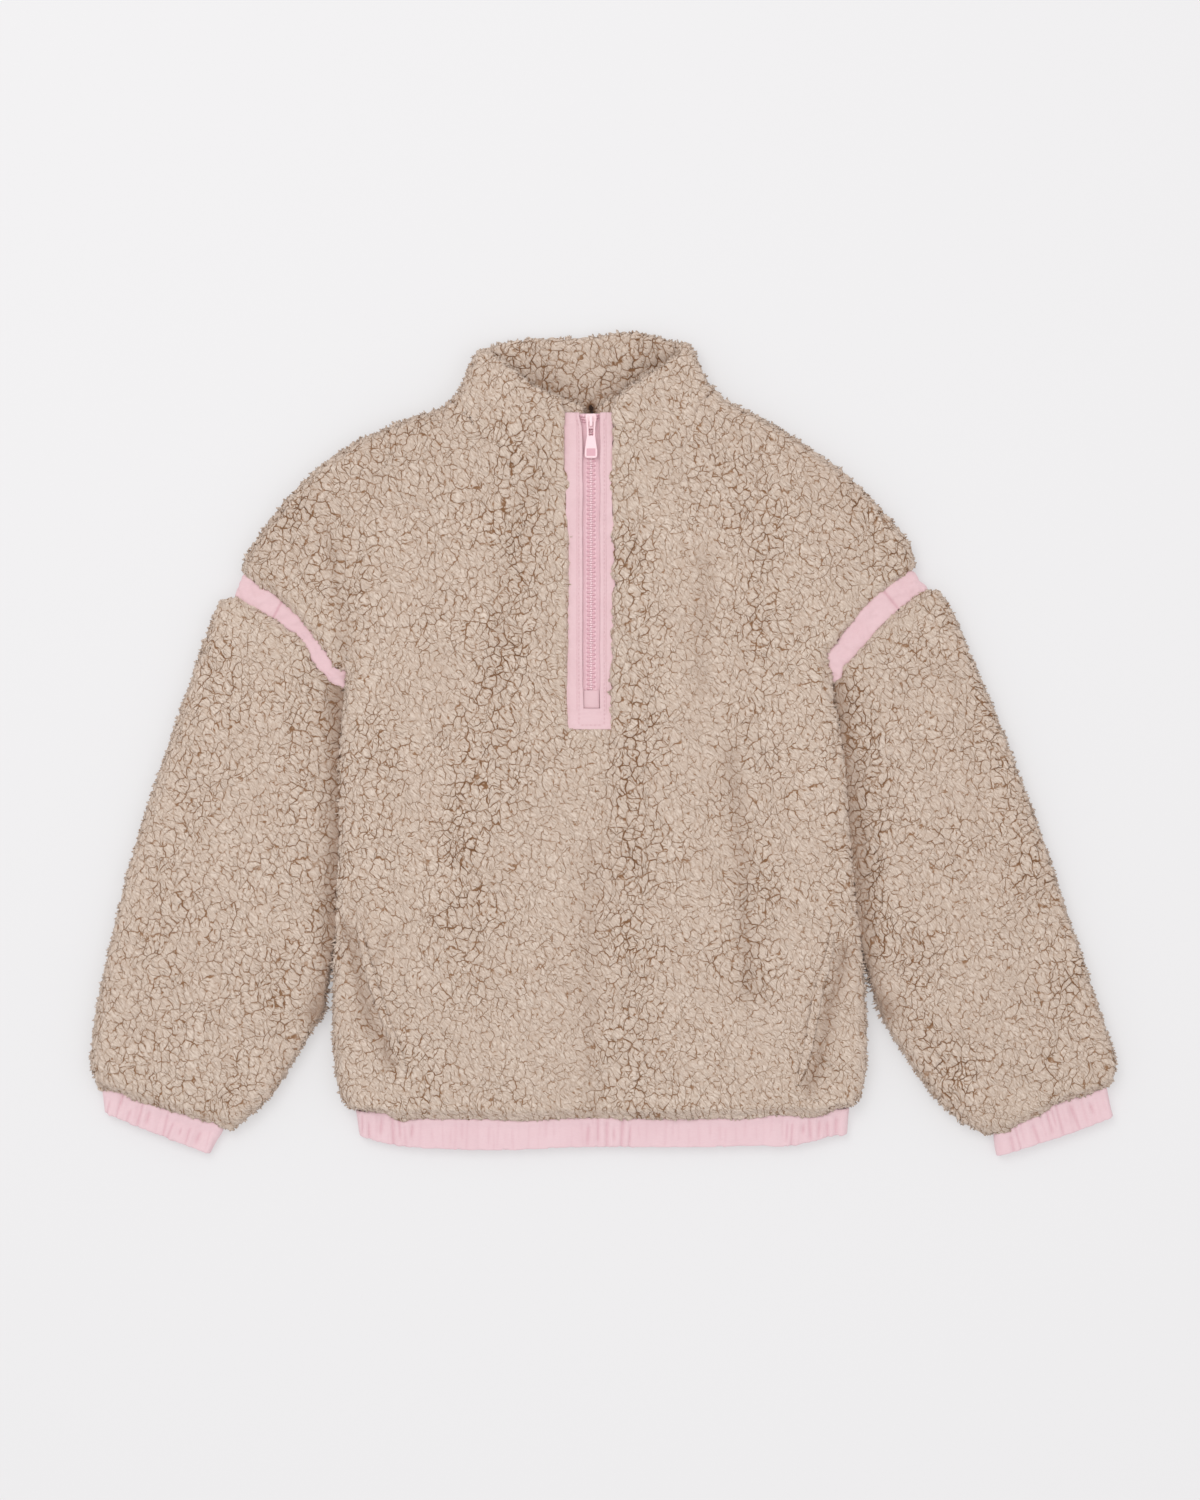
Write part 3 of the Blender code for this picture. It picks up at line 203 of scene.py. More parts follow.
def thinned(mesh, hidden, left):
    """Fewer faces where nobody sees them: about this many triangles are left there."""
    obj = add_object("thinned", mesh)
    group = obj.vertex_groups.new(name="hidden")
    group.add(np.nonzero(hidden)[0].tolist(), 1.0, "REPLACE")
    corners = np.empty(len(mesh.loops), int)
    mesh.loops.foreach_get("vertex_index", corners)
    inside = hidden[corners[: len(corners) // 4 * 4]].reshape(-1, 4).all(axis=1).sum()
    faces = 2 * len(mesh.polygons)
    fewer = obj.modifiers.new("fewer", "DECIMATE")
    fewer.vertex_group = group.name
    fewer.ratio = (faces - 2 * inside + left) / faces
    return baked(obj)


def make_piece(name, mesh, material, node=None, body="root"):
    """A piece of the garment, which takes its CAD node's place."""
    mesh.polygons.foreach_set("use_smooth", np.ones(len(mesh.polygons), bool))
    mesh.materials.append(material)
    obj = add_object(name, mesh)
    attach(obj, body)
    if node:
        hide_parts(node)
    return obj


# ======== node trees
class Tree:
    """Adds nodes to a shader or geometry node tree, and gives back their sockets."""

    def __init__(self, tree):
        self.tree = tree

    def node(self, kind, *values, **settings):
        made = self.tree.nodes.new(kind)
        for key, value in settings.items():
            setattr(made, key, value)
        for socket, value in zip(made.inputs, values):
            self.put(socket, value)
        return made

    def put(self, socket, value):
        if isinstance(value, bpy.types.NodeSocket):
            self.tree.links.new(value, socket)
        else:
            socket.default_value = value

    def math(self, operation, *values, clamp=False):
        return self.node("ShaderNodeMath", *values, operation=operation, use_clamp=clamp).outputs[0]

    def add(self, a, b):
        return self.math("ADD", a, b)

    def sub(self, a, b):
        return self.math("SUBTRACT", a, b)

    def mul(self, a, b):
        return self.math("MULTIPLY", a, b)

    def vector(self, operation, *values):
        made = self.node("ShaderNodeVectorMath", *values, operation=operation)
        return made.outputs["Value" if operation == "DOT_PRODUCT" else "Vector"]

    def scaled(self, vector, by):
        made = self.node("ShaderNodeVectorMath", vector, operation="SCALE")
        self.put(made.inputs["Scale"], by)
        return made.outputs["Vector"]

    def step(self, value, start, end, low=0.0, high=1.0):
        ends = (value, start, end, low, high)
        made = self.node("ShaderNodeMapRange", *ends, interpolation_type="SMOOTHSTEP")
        return made.outputs["Result"]

    def noise(self, vector, scale, detail=1.0, output=0, rough=0.5):
        return self.node("ShaderNodeTexNoise", vector, 0.0, scale, detail, rough).outputs[output]

    def plane(self, vector, first, second):
        """Two measures of a place; the share of its height keeps the pile's pattern going down
        the cloth's sides."""
        measures = [self.vector("DOT_PRODUCT", vector, way) for way in (first, second)]
        return self.node("ShaderNodeCombineXYZ", *measures).outputs[0]

    def cells(self, vector, scale, feature):
        settings = {"feature": feature, "voronoi_dimensions": "2D"}
        return self.node("ShaderNodeTexVoronoi", vector, 0.0, scale, **settings)

    def mix(self, share, a, b):
        made = self.node("ShaderNodeMix", share, data_type="RGBA", clamp_factor=True)
        self.put(made.inputs[6], a)
        self.put(made.inputs[7], b)
        return made.outputs[2]

    def attribute(self, name, output="Fac"):
        return self.node("ShaderNodeAttribute", attribute_name=name).outputs[output]

    def place(self):
        """The place on the object in mm."""
        return self.scaled(self.node("ShaderNodeTexCoord").outputs["Object"], 1000.0)

    def bump(self, shader, height, strength, distance):
        made = self.node("ShaderNodeBump", strength, distance)
        self.put(made.inputs["Height"], height)
        self.put(shader.inputs["Normal"], made.outputs["Normal"])


CURL = 6.1  # mm: how wide the pile's larger clumps are
TUFT = 2.9  # mm: the smaller ones
WISP = 1.5  # mm: the curls that show only in colour and bump
STREAK = math.radians(-48.0)  # the way that the smaller ones are drawn out
DRAWN = 0.55
SMALL_FLOW = (0.25, 0.97, 0.0)  # the way that the smaller ones lean


def fleece(t, rest, flow, crackle):
    """The sherpa's clumps of curled pile.  rest is the place on the plain cloth in metres, flow
    the way the larger clumps lean, and crackle how far they part.  Gives the pile's height, the
    dark lines between clumps (painted shade in the crevices between them, which the pile's
    geometry also sinks), the warped place along the streaks and the place in mm."""
    place = t.scaled(rest, 1000.0)
    bent = place
    for scale, far in ((0.05, 8.5), (0.16, 3.3), (0.45, 1.25)):
        noise = t.vector("SUBTRACT", t.noise(place, scale, 0.0, "Color"), (0.5, 0.5, 0.5))
        bent = t.vector("ADD", bent, t.scaled(noise, far))
    tall = t.plane(bent, (0.95, -0.3, 0.7), (0.22, 0.7, -0.7))
    along = (DRAWN * math.cos(STREAK), DRAWN * math.sin(STREAK), 0.4)
    drawn = t.plane(bent, along, (-math.sin(STREAK), math.cos(STREAK), 0.6))

    edge, lean, dome, _ = clumps(t, tall, CURL, flow)
    small_edge, small_lean, small_dome, small_corner = clumps(t, drawn, TUFT, SMALL_FLOW)
    height = t.add(
        t.add(t.mul(dome, t.add(0.3, t.mul(crackle, 0.4))), t.mul(small_dome, 0.34)),
        t.add(t.mul(lean, 0.1), t.mul(small_lean, 0.12)),
    )
    steep = t.step(t.math("ABSOLUTE", lean), 0.1, 0.36, 0.5, 1.0)
    line = t.sub(1.0, t.step(edge, 0.0, t.add(0.07, t.mul(crackle, 0.04))))
    broken = t.step(t.noise(place, 0.15, 1.5), 0.4, 0.58, 0.35, 1.0)
    deep = t.mul(t.mul(line, steep), t.mul(broken, t.add(0.42, t.mul(crackle, 0.62))))
    thin = t.sub(1.0, t.step(small_edge, 0.0, t.add(0.15, t.mul(small_corner, 0.04))))
    thin = t.mul(thin, t.step(small_lean, 0.15, -0.3, t.mul(crackle, 0.55), 1.0))
    elsewhere = t.vector("ADD", place, (7.0, 90.0, 3.0))
    thin = t.mul(thin, t.step(t.noise(elsewhere, 0.25, 1.5), 0.4, 0.6, 0.12, 1.0))
    # dark: painted shade in the crevices between clumps, deeper at steep leans and on the small
    # clumps' lee sides
    dark = t.math("MAXIMUM", deep, t.mul(thin, t.add(0.52, t.mul(crackle, 0.15))))
    return height, dark, drawn, place


def clumps(t, at, size, flow):
    """One scale of clumps: distance to the nearest edge, how far a place is down the lean from
    its clump's middle, the clump's rounded height, and how near a place is to a corner."""
    cell = t.cells(at, 1.0 / size, "F1")
    edge = t.cells(at, 1.0 / size, "DISTANCE_TO_EDGE").outputs["Distance"]
    off = t.vector("SUBTRACT", at, cell.outputs["Position"])
    lean = t.mul(t.vector("DOT_PRODUCT", off, flow), 1.0 / size)
    down = t.sub(1.0, t.math("MINIMUM", t.mul(edge, 3.0), 1.0))
    corner = t.step(cell.outputs["Distance"], 0.42, 0.85)
    return edge, lean, t.sub(1.0, t.mul(down, down)), corner


# ======== materials
def linear(*rgb):
    """A picture's colour, 0 to 255, as linear light."""
    shares = [v / 255.0 for v in rgb]
    return (*(v / 12.92 if v <= 0.04045 else ((v + 0.055) / 1.055) ** 2.4 for v in shares), 1.0)


def new_material(name, roughness, specular, sheen=0.0, sheen_roughness=0.5, coat=0.0):
    mat = bpy.data.materials.new(name)
    mat.use_nodes = True
    shader = mat.node_tree.nodes["Principled BSDF"]
    for socket, value in (
        ("Roughness", roughness), ("Specular IOR Level", specular), ("Coat Weight", coat),
        ("Sheen Weight", sheen), ("Sheen Roughness", sheen_roughness),
    ):
        shader.inputs[socket].default_value = value
    return mat, Tree(mat.node_tree), shader


def sherpa_material():
    mat, t, shader = new_material("sherpa_pile", 0.95, 0.12, sheen=0.12)
    rest, flow = t.attribute("rest", "Vector"), t.attribute("flow", "Vector")
    height, dark, drawn, place = fleece(t, rest, flow, t.attribute("crackle"))
    shade = t.attribute("shade")
    # Single fibres: fine noise averaged along the way that the pile lies.
    grain = None
    for k in range(4):
        step = 0.62 * (k - 1.5)
        moved = t.vector("ADD", place, (step * math.cos(STREAK), step * math.sin(STREAK), 0.0))
        one = t.noise(moved, 1.0, 2.0, rough=0.7)
        grain = one if grain is None else t.add(grain, one)
    fibres = t.step(grain, 1.75, 2.25, -1.0, 1.0)
    elsewhere = t.vector("ADD", drawn, (3.0, 61.0, 9.0))
    wisp_edge, wisp_lean, wisp_dome, _ = clumps(t, elsewhere, WISP, SMALL_FLOW)
    wisp = t.sub(1.0, t.step(wisp_edge, 0.0, 0.28))
    wisp = t.mul(wisp, t.step(wisp_lean, 0.2, -0.3, 0.15, 1.0))
    blotch = t.step(t.noise(place, 0.035, 2.0), 0.3, 0.7, -1.0, 1.0)
    colour = linear(206, 186, 170)
    for share, over in (
        # painted light: the higher clumps' tops lighter, as where light falls on them
        (t.step(height, 0.1, 0.85), (216, 198, 183)),
        (t.step(fibres, -1.0, 0.3, 0.32, 0.0), (174, 147, 126)),
        # painted highlights on the fibre grain's light streaks
        (t.step(fibres, 0.1, 1.0, 0.0, 0.28), (240, 228, 217)),
        # painted shade in the lines between the smallest curls, on their lee sides
        (t.mul(wisp, 0.14), (168, 140, 117)),
        (t.step(blotch, -1.0, 1.0, 0.0, 0.12), (186, 164, 148)),
        # painted shade in the crevices between clumps, in two steps of brown
        (t.step(dark, 0.0, 0.5), (157, 122, 94)),
        (t.step(dark, 0.3, 1.0, 0.0, 0.75), (128, 90, 60)),
        (shade, (124, 90, 66)),
        (t.step(shade, 0.9, 1.2), (62, 44, 36)),  # deep in the neck's gap
    ):
        colour = t.mix(share, colour, linear(*over))
    t.put(shader.inputs["Base Color"], colour)
    relief = t.add(
        t.add(t.mul(height, 0.3), t.mul(fibres, 0.16)),
        t.add(t.mul(wisp_dome, 0.16), t.mul(wisp_lean, 0.1)),
    )
    t.bump(shader, t.sub(relief, t.mul(dark, 0.9)), 0.8, 0.9 * MM)
    return mat


def woven_material(name, colour, pitch=0.45):
    mat, t, shader = new_material(name, 0.72, 0.25, sheen=0.25, sheen_roughness=0.4)
    place = t.place()
    split = t.node("ShaderNodeSeparateXYZ", place)
    turns = [t.mul(split.outputs[axis], 2.0 * math.pi / pitch) for axis in (0, 1)]
    threads = t.mul(*(t.math("SINE", turn) for turn in turns))
    mottle = t.step(t.noise(place, 0.05, 2.0), 0.3, 0.7, -1.0, 1.0)
    drawn = t.vector("MULTIPLY", place, (0.25, 2.2, 1.0))
    slub = t.step(t.noise(drawn, 1.0, 1.0), 0.3, 0.7, -1.0, 1.0)
    base = linear(*colour)
    deeper = tuple(c * f for c, f in zip(base, (0.86, 0.74, 0.77, 1.0)))
    share = t.add(t.add(t.mul(mottle, 0.08), t.mul(slub, 0.07)), 0.1)
    share = t.add(share, t.mul(threads, 0.06))
    # darker where a piece stores it: painted shade in the hem's and cuffs' creases and on the tape
    # beside the teeth; elsewhere darker along seams, folds, the tape and the stitches
    share = t.math("ADD", share, t.attribute("shade_and_tone"), clamp=True)
    t.put(shader.inputs["Base Color"], t.mix(share, base, deeper))
    t.bump(shader, t.add(t.mul(threads, 0.5), t.mul(slub, 0.3)), 0.35, 0.12 * MM)
    return mat


def plain_material(name, colour, roughness, coat=0.0):
    mat, t, shader = new_material(name, roughness, 0.4, coat=coat)
    place = t.place()
    mottle = t.step(t.noise(place, 0.7, 3.0), 0.3, 0.7, 0.0, 0.22)
    base = linear(*colour)
    colour = t.mix(mottle, base, tuple(c * 0.85 for c in base[:3]) + (1.0,))
    # the pull tab's bare recess in its own deeper pink, and painted shade at the zip teeth's feet
    # and necks
    colour = t.mix(t.attribute("recess"), colour, linear(208, 152, 165))
    t.put(shader.inputs["Base Color"], colour)
    t.bump(shader, t.noise(place, 3.0, 2.0), 0.2, 0.05 * MM)
    return mat


SHERPA = sherpa_material()
WOVEN = woven_material("pink_weave", (224, 192, 196))
BAND_PAINTED_LIGHTER = woven_material("pink_weave_band_painted_lighter", (228, 198, 203))  # the hem and cuffs: the pink weave painted lighter, to make up for the lower light on them
TAPE = woven_material("zip_tape_weave", (238, 204, 210), pitch=0.6)
TEETH = plain_material("pink_moulding", (250, 222, 227), 0.42)
PAINTED = plain_material("pink_paint", (245, 212, 217), 0.3, coat=0.3)


# ======== camera, floor and light
CAMERA_HIGH = 2.56
LENS = 85.0
FLOOR_HALF, FLOOR_Z = 30.0, -0.3 * MM


def make_stage():
    scene = bpy.context.scene
    scene.view_settings.view_transform = "Standard"
    camera = bpy.data.cameras.new("camera")
    camera.lens = LENS
    camera.sensor_width = 36.0
    eye = add_object("camera", camera)
    eye.location = ((600.0 - PX_X) * PX, (PX_Y - 750.0) * PX, CAMERA_HIGH)
    scene.camera = eye

    ways = ((-1, -1), (1, -1), (1, 1), (-1, 1))
    corners = [(x * FLOOR_HALF, y * FLOOR_HALF, FLOOR_Z) for x, y in ways]
    floor = add_object("floor", new_mesh("floor", corners, [(0, 1, 2, 3)]))
    mat, _, shader = new_material("floor_paint", 0.9, 0.1)
    shader.inputs["Base Color"].default_value = (0.42, 0.417, 0.42, 1.0)
    shader.inputs["Emission Color"].default_value = (1.0, 0.99, 1.0, 1.0)
    shader.inputs["Emission Strength"].default_value = 0.39  # as on a lit table, faint shadows
    floor.data.materials.append(mat)

    world = bpy.data.worlds.new("studio")
    world.use_nodes = True
    background = world.node_tree.nodes["Background"]
    background.inputs["Color"].default_value = (1.0, 0.995, 1.0, 1.0)
    background.inputs["Strength"].default_value = 0.85
    scene.world = world

    for name, place, side, watts in (
        ("key", (-0.7, 0.9, 2.3), 1.6, 19.0),
        ("fill", (0.9, -0.3, 2.4), 2.2, 6.0),
    ):
        lamp = bpy.data.lights.new(name, "AREA")
        lamp.shape = "DISK"
        lamp.size = side
        lamp.energy = watts
        obj = add_object(name, lamp)
        obj.location = place
        obj.rotation_mode = "QUATERNION"
        obj.rotation_quaternion = (-Vector(place)).to_track_quat("-Z", "Y")
        obj.visible_camera = False


make_stage()


# ======== sherpa pieces
# Tables of soft ridges: each is a line in the photograph's pixels, its width and its strength
CRACKLED = (  # the clumps part along soft folds
    (((372, 585), (362, 660), (372, 730), (380, 830)), 20, 0.35),
    (((515, 440), (520, 560), (512, 640), (500, 720), (470, 820), (462, 930)), 34, 0.6),
    (((630, 735), (632, 850), (625, 960), (632, 1040), (620, 1110)), 28, 0.55),
    (((757, 520), (760, 600), (765, 680), (765, 760), (770, 860), (765, 980)), 25, 0.42),
    (((636, 540), (640, 700)), 22, 0.4), (((862, 505), (890, 565)), 24, 0.42),
    (((300, 520), (370, 545)), 28, 0.35), (((250, 575), (320, 480), (430, 420)), 24, 0.35),
    (((730, 400), (850, 470), (915, 560)), 24, 0.25), (((390, 480), (450, 470)), 26, 0.25),
    (((456, 412), (480, 425)), 14, 0.4), (((690, 450), (740, 480)), 22, 0.25),
    (((400, 1000), (440, 1090)), 30, 0.25), (((345, 760), (340, 880), (345, 960)), 12, 0.35),
    (((530, 384), (560, 398), (590, 402), (628, 392), (655, 368)), 14, 0.35),
    (((480, 360), (560, 350), (680, 350)), 22, 0.25),
    (((215, 640), (190, 760), (170, 900), (130, 1060)), 26, 0.22),
    (((240, 700), (230, 860), (245, 980)), 28, 0.25),
    (((300, 700), (310, 860), (290, 1000), (230, 1090)), 20, 0.2),
    (((935, 590), (990, 700), (1030, 830), (1075, 980)), 24, 0.35),
    (((862, 700), (880, 900), (920, 1020), (970, 1090)), 20, 0.5),
    (((960, 1060), (1040, 1060)), 24, 0.3), (((905, 660), (935, 780), (975, 900)), 28, 0.08),
    (((334, 700), (330, 850), (326, 960)), 12, 0.5),
    (((846, 685), (860, 740), (870, 850), (876, 960)), 12, 0.55),
    (((420, 600), (430, 690)), 34, -0.2), (((700, 540), (700, 700), (705, 900)), 18, -0.15),
    (((555, 830), (550, 960), (560, 1100)), 34, -0.3), (((690, 1000), (760, 1060)), 36, -0.2),
)


def along_ridges(px, ridges):
    return [gain * bell(near_line(px, line), wide) for line, wide, gain in ridges]


def crackle_at(co):
    neck = (co[:, 1] > 0.22) & (np.abs(co[:, 0]) < 0.09) & (co[:, 2] < 15.0 * MM)
    total = 0.3 + 0.3 * neck + 0.12 * waves(co, 0.07, 3) + 0.08 * waves(co, 0.03, 4)
    for share in along_ridges(to_px(co), CRACKLED):
        total += share
    return np.clip(total, 0.04, 1.1)


def flow_at(co):
    """The way that the larger clumps lean: across the folds, swirling a little."""
    turn = 0.2 * math.pi * waves(co, 0.12, 7) + 0.5 * waves(co, 0.045, 8) - 0.25
    return spots(np.cos(turn), np.sin(turn))


def pile_group():
    """Geometry nodes that raise the pile on a piece's rest shape."""
    tree = bpy.data.node_groups.new("pile", "GeometryNodeTree")
    for way in ("INPUT", "OUTPUT"):
        tree.interface.new_socket("Geometry", in_out=way, socket_type="NodeSocketGeometry")
    t = Tree(tree)

    def read(name, kind="FLOAT"):
        return t.node("GeometryNodeInputNamedAttribute", name, data_type=kind).outputs["Attribute"]

    places = [read(name, "FLOAT_VECTOR") for name in ("rest", "flow")]
    height, dark, _, _ = fleece(t, *places, read("crackle"))
    high = t.sub(t.sub(height, t.mul(dark, 0.5)), 0.3)
    high = t.mul(high, read("pile"))
    move = t.node("GeometryNodeSetPosition")
    start = t.node("NodeGroupInput")
    end = t.node("NodeGroupOutput")
    normal = t.node("GeometryNodeInputNormal").outputs["Normal"]
    t.put(move.inputs["Geometry"], start.outputs["Geometry"])
    t.put(move.inputs["Offset"], t.scaled(normal, high))
    t.put(end.inputs["Geometry"], move.outputs["Geometry"])
    return tree


PILE = pile_group()


# Lines in mm
NECK_LINES = (  # where the collar is sewn to the body
    ((-108.0, 243.6), (-96.6, 238.6), (-91.0, 224.5), (-79.0, 209.0), (-55.0, 194.5),
     (-27.9, 188.0)),
    ((79.5, 251.6), (67.9, 245.8), (64.0, 229.0), (54.0, 209.0), (33.0, 194.5), (7.5, 188.0)),
    ((-96.6, 238.6), (-72.0, 234.8), (-42.0, 233.2), (20.0, 235.0), (47.0, 239.4), (67.9, 245.8)),
)
TRIM_LINES = (  # where pile meets a woven strip, at the armholes, hem and cuffs
    ((-185.0, 50.9), (-206.0, 73.8), (-213.6, 84.8), (-231.2, 102.0), (-262.0, 127.0)),
    ((165.2, 43.5), (162.4, 55.0), (165.2, 67.6), (178.4, 85.6), (197.0, 105.8), (225.6, 127.4)),
    ((-276.4, 101.8), (-264.4, 107.2), (-236.2, 90.6), (-221.0, 77.4), (-204.5, 53.6),
     (-187.6, 36.6)),
    ((242.8, 108.4), (235.4, 110.0), (212.4, 96.9), (191.5, 76.6), (172.1, 52.4), (167.6, 37.0)),
    ((-178.6, -270.4), (178.0, -270.4)),
    ((-362.6, -250.2), (-266.0, -277.6)),
    ((365.6, -250.4), (277.0, -281.8)),
)
FACING_LEFT = (((-27.9, 240.0), (-27.9, 10.4)),)  # this edge of the facing stays straight
FACING_RIGHT = (((7.5, 240.0), (7.5, 10.4)),)
NECK_CORNERS = (((-98.6, 240.4), (-98.0, 239.0)), ((69.8, 244.6), (70.2, 243.4)))

# Lines in the photograph's pixels
BODY_EDGES = (  # the body's sides, which lie on the sleeves
    ((338, 690), (340, 800), (335, 900), (333, 985), (318, 1012)),
    ((836, 690), (850, 800), (860, 900), (867, 985), (885, 1010)),
)
PULLS = (  # where cloth is drawn aside and down at an uneven seam, how far, and the reach
    (((357, 1119), (383, 1119)), 0.0, -6.5, 10), (((402, 1119), (402, 1120)), 0.0, 3.0, 9),
    (((520, 1119), (520, 1120)), 0.0, 2.0, 25), (((575, 1119), (730, 1119)), 0.0, -0.4, 14),
    (((778, 1119), (785, 1119)), 0.0, -4.0, 22), (((780, 1146), (790, 1145)), 0.0, 2.0, 12),
    (((838, 1119), (857, 1119)), 0.0, -9.0, 16), (((845, 1134), (850, 1133)), 0.0, 5.0, 10),
    (((1108, 1092), (1097, 1096)), -1.4, -4.2, 13), (((1072, 1104), (1056, 1110)), -1.8, -5.2, 13),
    (((992, 1140), (1000, 1150)), -5.0, 1.0, 12), (((1006, 1128), (1010, 1136)), 1.2, 4.0, 9),
    (((1000, 1150), (1108, 1117)), 1.1, 3.3, 9), (((112, 1096), (122, 1099)), 1.2, -3.5, 8),
    (((190, 1120), (200, 1123)), -0.3, 1.0, 9), (((224, 1131), (226, 1132)), -0.5, 3.5, 9),
    (((120, 1127), (205, 1152)), -0.4, 1.6, 8), (((247, 574), (262, 588)), -1.5, 2.0, 8),
    (((296, 637), (306, 650)), 2.3, -2.9, 8), (((337, 663), (333, 668)), -2.5, 5.0, 8),
    (((325, 674), (322, 677)), 1.5, -2.0, 6), (((918, 590), (930, 594)), -1.5, -2.0, 8),
    (((830, 652), (833, 662)), -3.0, -2.0, 8), (((843, 660), (848, 671)), -2.1, -1.5, 7),
    (((240, 560), (241, 561)), 3.0, -1.5, 7), (((482, 343), (483, 344)), 4.5, 4.5, 9),
)


def pulled(co):
    px = to_px(co)
    co = co.copy()
    for line, aside, down, reach in PULLS:
        share = bell(near_line(px, line), reach)
        co[:, 0] += aside * PX * share
        co[:, 1] -= down * PX * share
    return co


def tucked(co, no, rise):
    """A strip runs in under the pile along its seams, and rises there to meet it."""
    best = np.full(len(co), 1e9)
    way = np.zeros((len(co), 2))
    for line in TRIM_LINES:
        line = np.array(line) * MM
        for a, b in zip(line[:-1], line[1:]):
            t = np.clip(((co[:, :2] - a) @ (b - a)) / ((b - a) @ (b - a)), 0.0, 1.0)
            off = a + t[:, None] * (b - a) - co[:, :2]
            away = np.linalg.norm(off, axis=1)
            closer = away < best
            best[closer], way[closer] = away[closer], off[closer]
    way /= np.maximum(best, 0.01 * MM)[:, None]
    facing_it = np.clip((no[:, :2] * way).sum(axis=1), 0.0, 1.0) * ramp_mm(best, 5.0, 3.0)
    co = co.copy()
    co[:, :2] += 2.2 * MM * facing_it[:, None] * way
    co[:, 2] += rise * MM * ramp_mm(best, 7.0, 0.5) * ramp_mm(co[:, 2], 4.0, 9.0)
    return co


def closed_seams(co, no, lift=0.0, near=10.0):
    """Pile spreads over the seams: a piece's rim reaches out over a strip or into the collar, and
    the upper faces meet at one height along the neck.  lift and near are in mm."""
    co = co.copy()
    xy = co[:, :2].copy()
    flat = np.hypot(no[:, 0], no[:, 1])
    side = ramp(flat, 0.35, 0.85)[:, None] * no[:, :2] / np.maximum(flat, 0.05)[:, None]
    neck, trim = nearest(xy, NECK_LINES, MM), nearest(xy, TRIM_LINES, MM)
    reach = 2.5 * MM * ramp_mm(neck, 8.0, 4.0)
    reach -= 0.35 * MM * ramp_mm(trim, 8.0, 4.0)
    reach = np.maximum(reach, 5.0 * MM * ramp_mm(nearest(xy, NECK_CORNERS, MM), 10.0, 3.0))
    low = ramp_mm(nearest(xy, TRIM_LINES[4:], MM), 9.0, 1.0)  # hem and cuffs
    drop = np.maximum(2.6 * MM * low, 0.7 * MM * ramp_mm(trim, 7.0, 1.0))
    co[:, :2] += side * reach[:, None]
    upper = ramp(no[:, 2], 0.0, 0.5) * (co[:, 2] > 11.0 * MM)
    co[:, 2] += lift * MM * upper * ramp_mm(neck, near, 1.0)
    co[:, 2] -= drop * ramp_mm(co[:, 2], 9.5, 14.0)
    return pulled(co)


SCALLOP_ROWS = (490, 530, 560, 590, 620, 640, 680, 727)  # the photograph's
SCALLOPS = (  # edge, side, seed, swing, and the reach at these rows, in mm
    (-27.9, -1.0, 41, 0.25, (2.6, 3.7, 3.3, 3.2, 3.1, 3.0, 2.0, 2.5)),
    (7.5, 1.0, 42, 0.9, (2.2, 0.6, -0.6, 0.0, 0.6, 1.1, 2.2, 2.3)),
)


def front_shape(co, no):
    """The front's pile also scallops over the zip facing's two edges."""
    co = closed_seams(co, no, 3.9, 20.0)
    row = to_px(co)[:, 1]
    for edge, side, seed, swing, reach in SCALLOPS:
        along = spots(0 * co[:, 0], co[:, 1])
        swing = swing * (0.8 * waves(along, 0.016, seed) + 0.5 * waves(along, 0.0065, seed + 5))
        far = (np.interp(row, SCALLOP_ROWS, reach) + swing) * MM
        beyond = side * (co[:, 0] - edge * MM)
        here = ramp_mm(beyond, 14.0, 1.0) * ramp_mm(beyond, -4.0, -2.5)
        here *= ramp_mm(co[:, 1], 4.0, 12.0)
        co[:, 0] -= side * far * here
    foot = ramp_mm(np.abs(co[:, 1] - 8.0 * MM), 8.0, 1.0) * (np.abs(co[:, 0] - ZIP_X) < 16 * MM)
    swell = waves(spots(co[:, 0], 0 * co[:, 1]), 0.008, 47)
    co[:, 1] += 1.0 * MM * foot * (0.6 + 0.5 * swell)
    return co


def collar_shape(co, no):
    """The collar's fronts also part a little over the slider, and clear the facing's corners."""
    co = closed_seams(co, no, -0.5)
    front = co[:, 2] > 13.0 * MM
    px = to_px(co)
    aside = px[:, 0] - 591.0
    here = bell(aside, 9.0) * front * ramp(px[:, 1], 396.0, 403.0)
    co[:, 0] += np.sign(aside) * 3.4 * MM * here
    beside = np.abs(co[:, 0] - ZIP_X)
    corner = ramp_mm(beside, 25.0, 20.0) * ramp_mm(beside, 9.0, 13.0)
    corner *= ramp_mm(co[:, 1], 224.0, 230.0) * front
    co[:, 0] += np.sign(co[:, 0] - ZIP_X) * 2.2 * MM * corner
    return co


def sleeve_shape(co, no):
    """A sleeve runs in under the body's side."""
    px = to_px(co)
    left = px[:, 0] < PX_X
    under = nearest(px, [line[:4] for line in BODY_EDGES])
    above = ramp(px[:, 1], 965.0, 925.0)
    upper = ramp(no[:, 2], -0.2, 0.4) * (co[:, 2] > 7.0 * MM) * above
    inward = ramp(np.where(left, no[:, 0], -no[:, 0]), 0.2, 0.8)
    co = closed_seams(co, no)
    co[:, 2] += 2.4 * MM * upper * ramp(under, 13.0, 3.0)
    co[:, 0] += np.where(left, 3.5, -3.5) * MM * above * inward * ramp(under, 14.0, 8.0)
    return co


def sleeve_hidden(co, no):
    up, z = no[:, 2], co[:, 2]
    return ((up < -0.45) & (z > 6.0 * MM)) | ((up > 0.45) & (z < 10.3 * MM))


def merged(mesh, more):
    """One mesh of two, with the attributes of both."""
    pair = [add_object("merged", mesh), add_object("more", more)]
    with bpy.context.temp_override(active_object=pair[0], selected_editable_objects=pair):
        bpy.ops.object.join()
    bpy.data.objects.remove(pair[0])
    return mesh


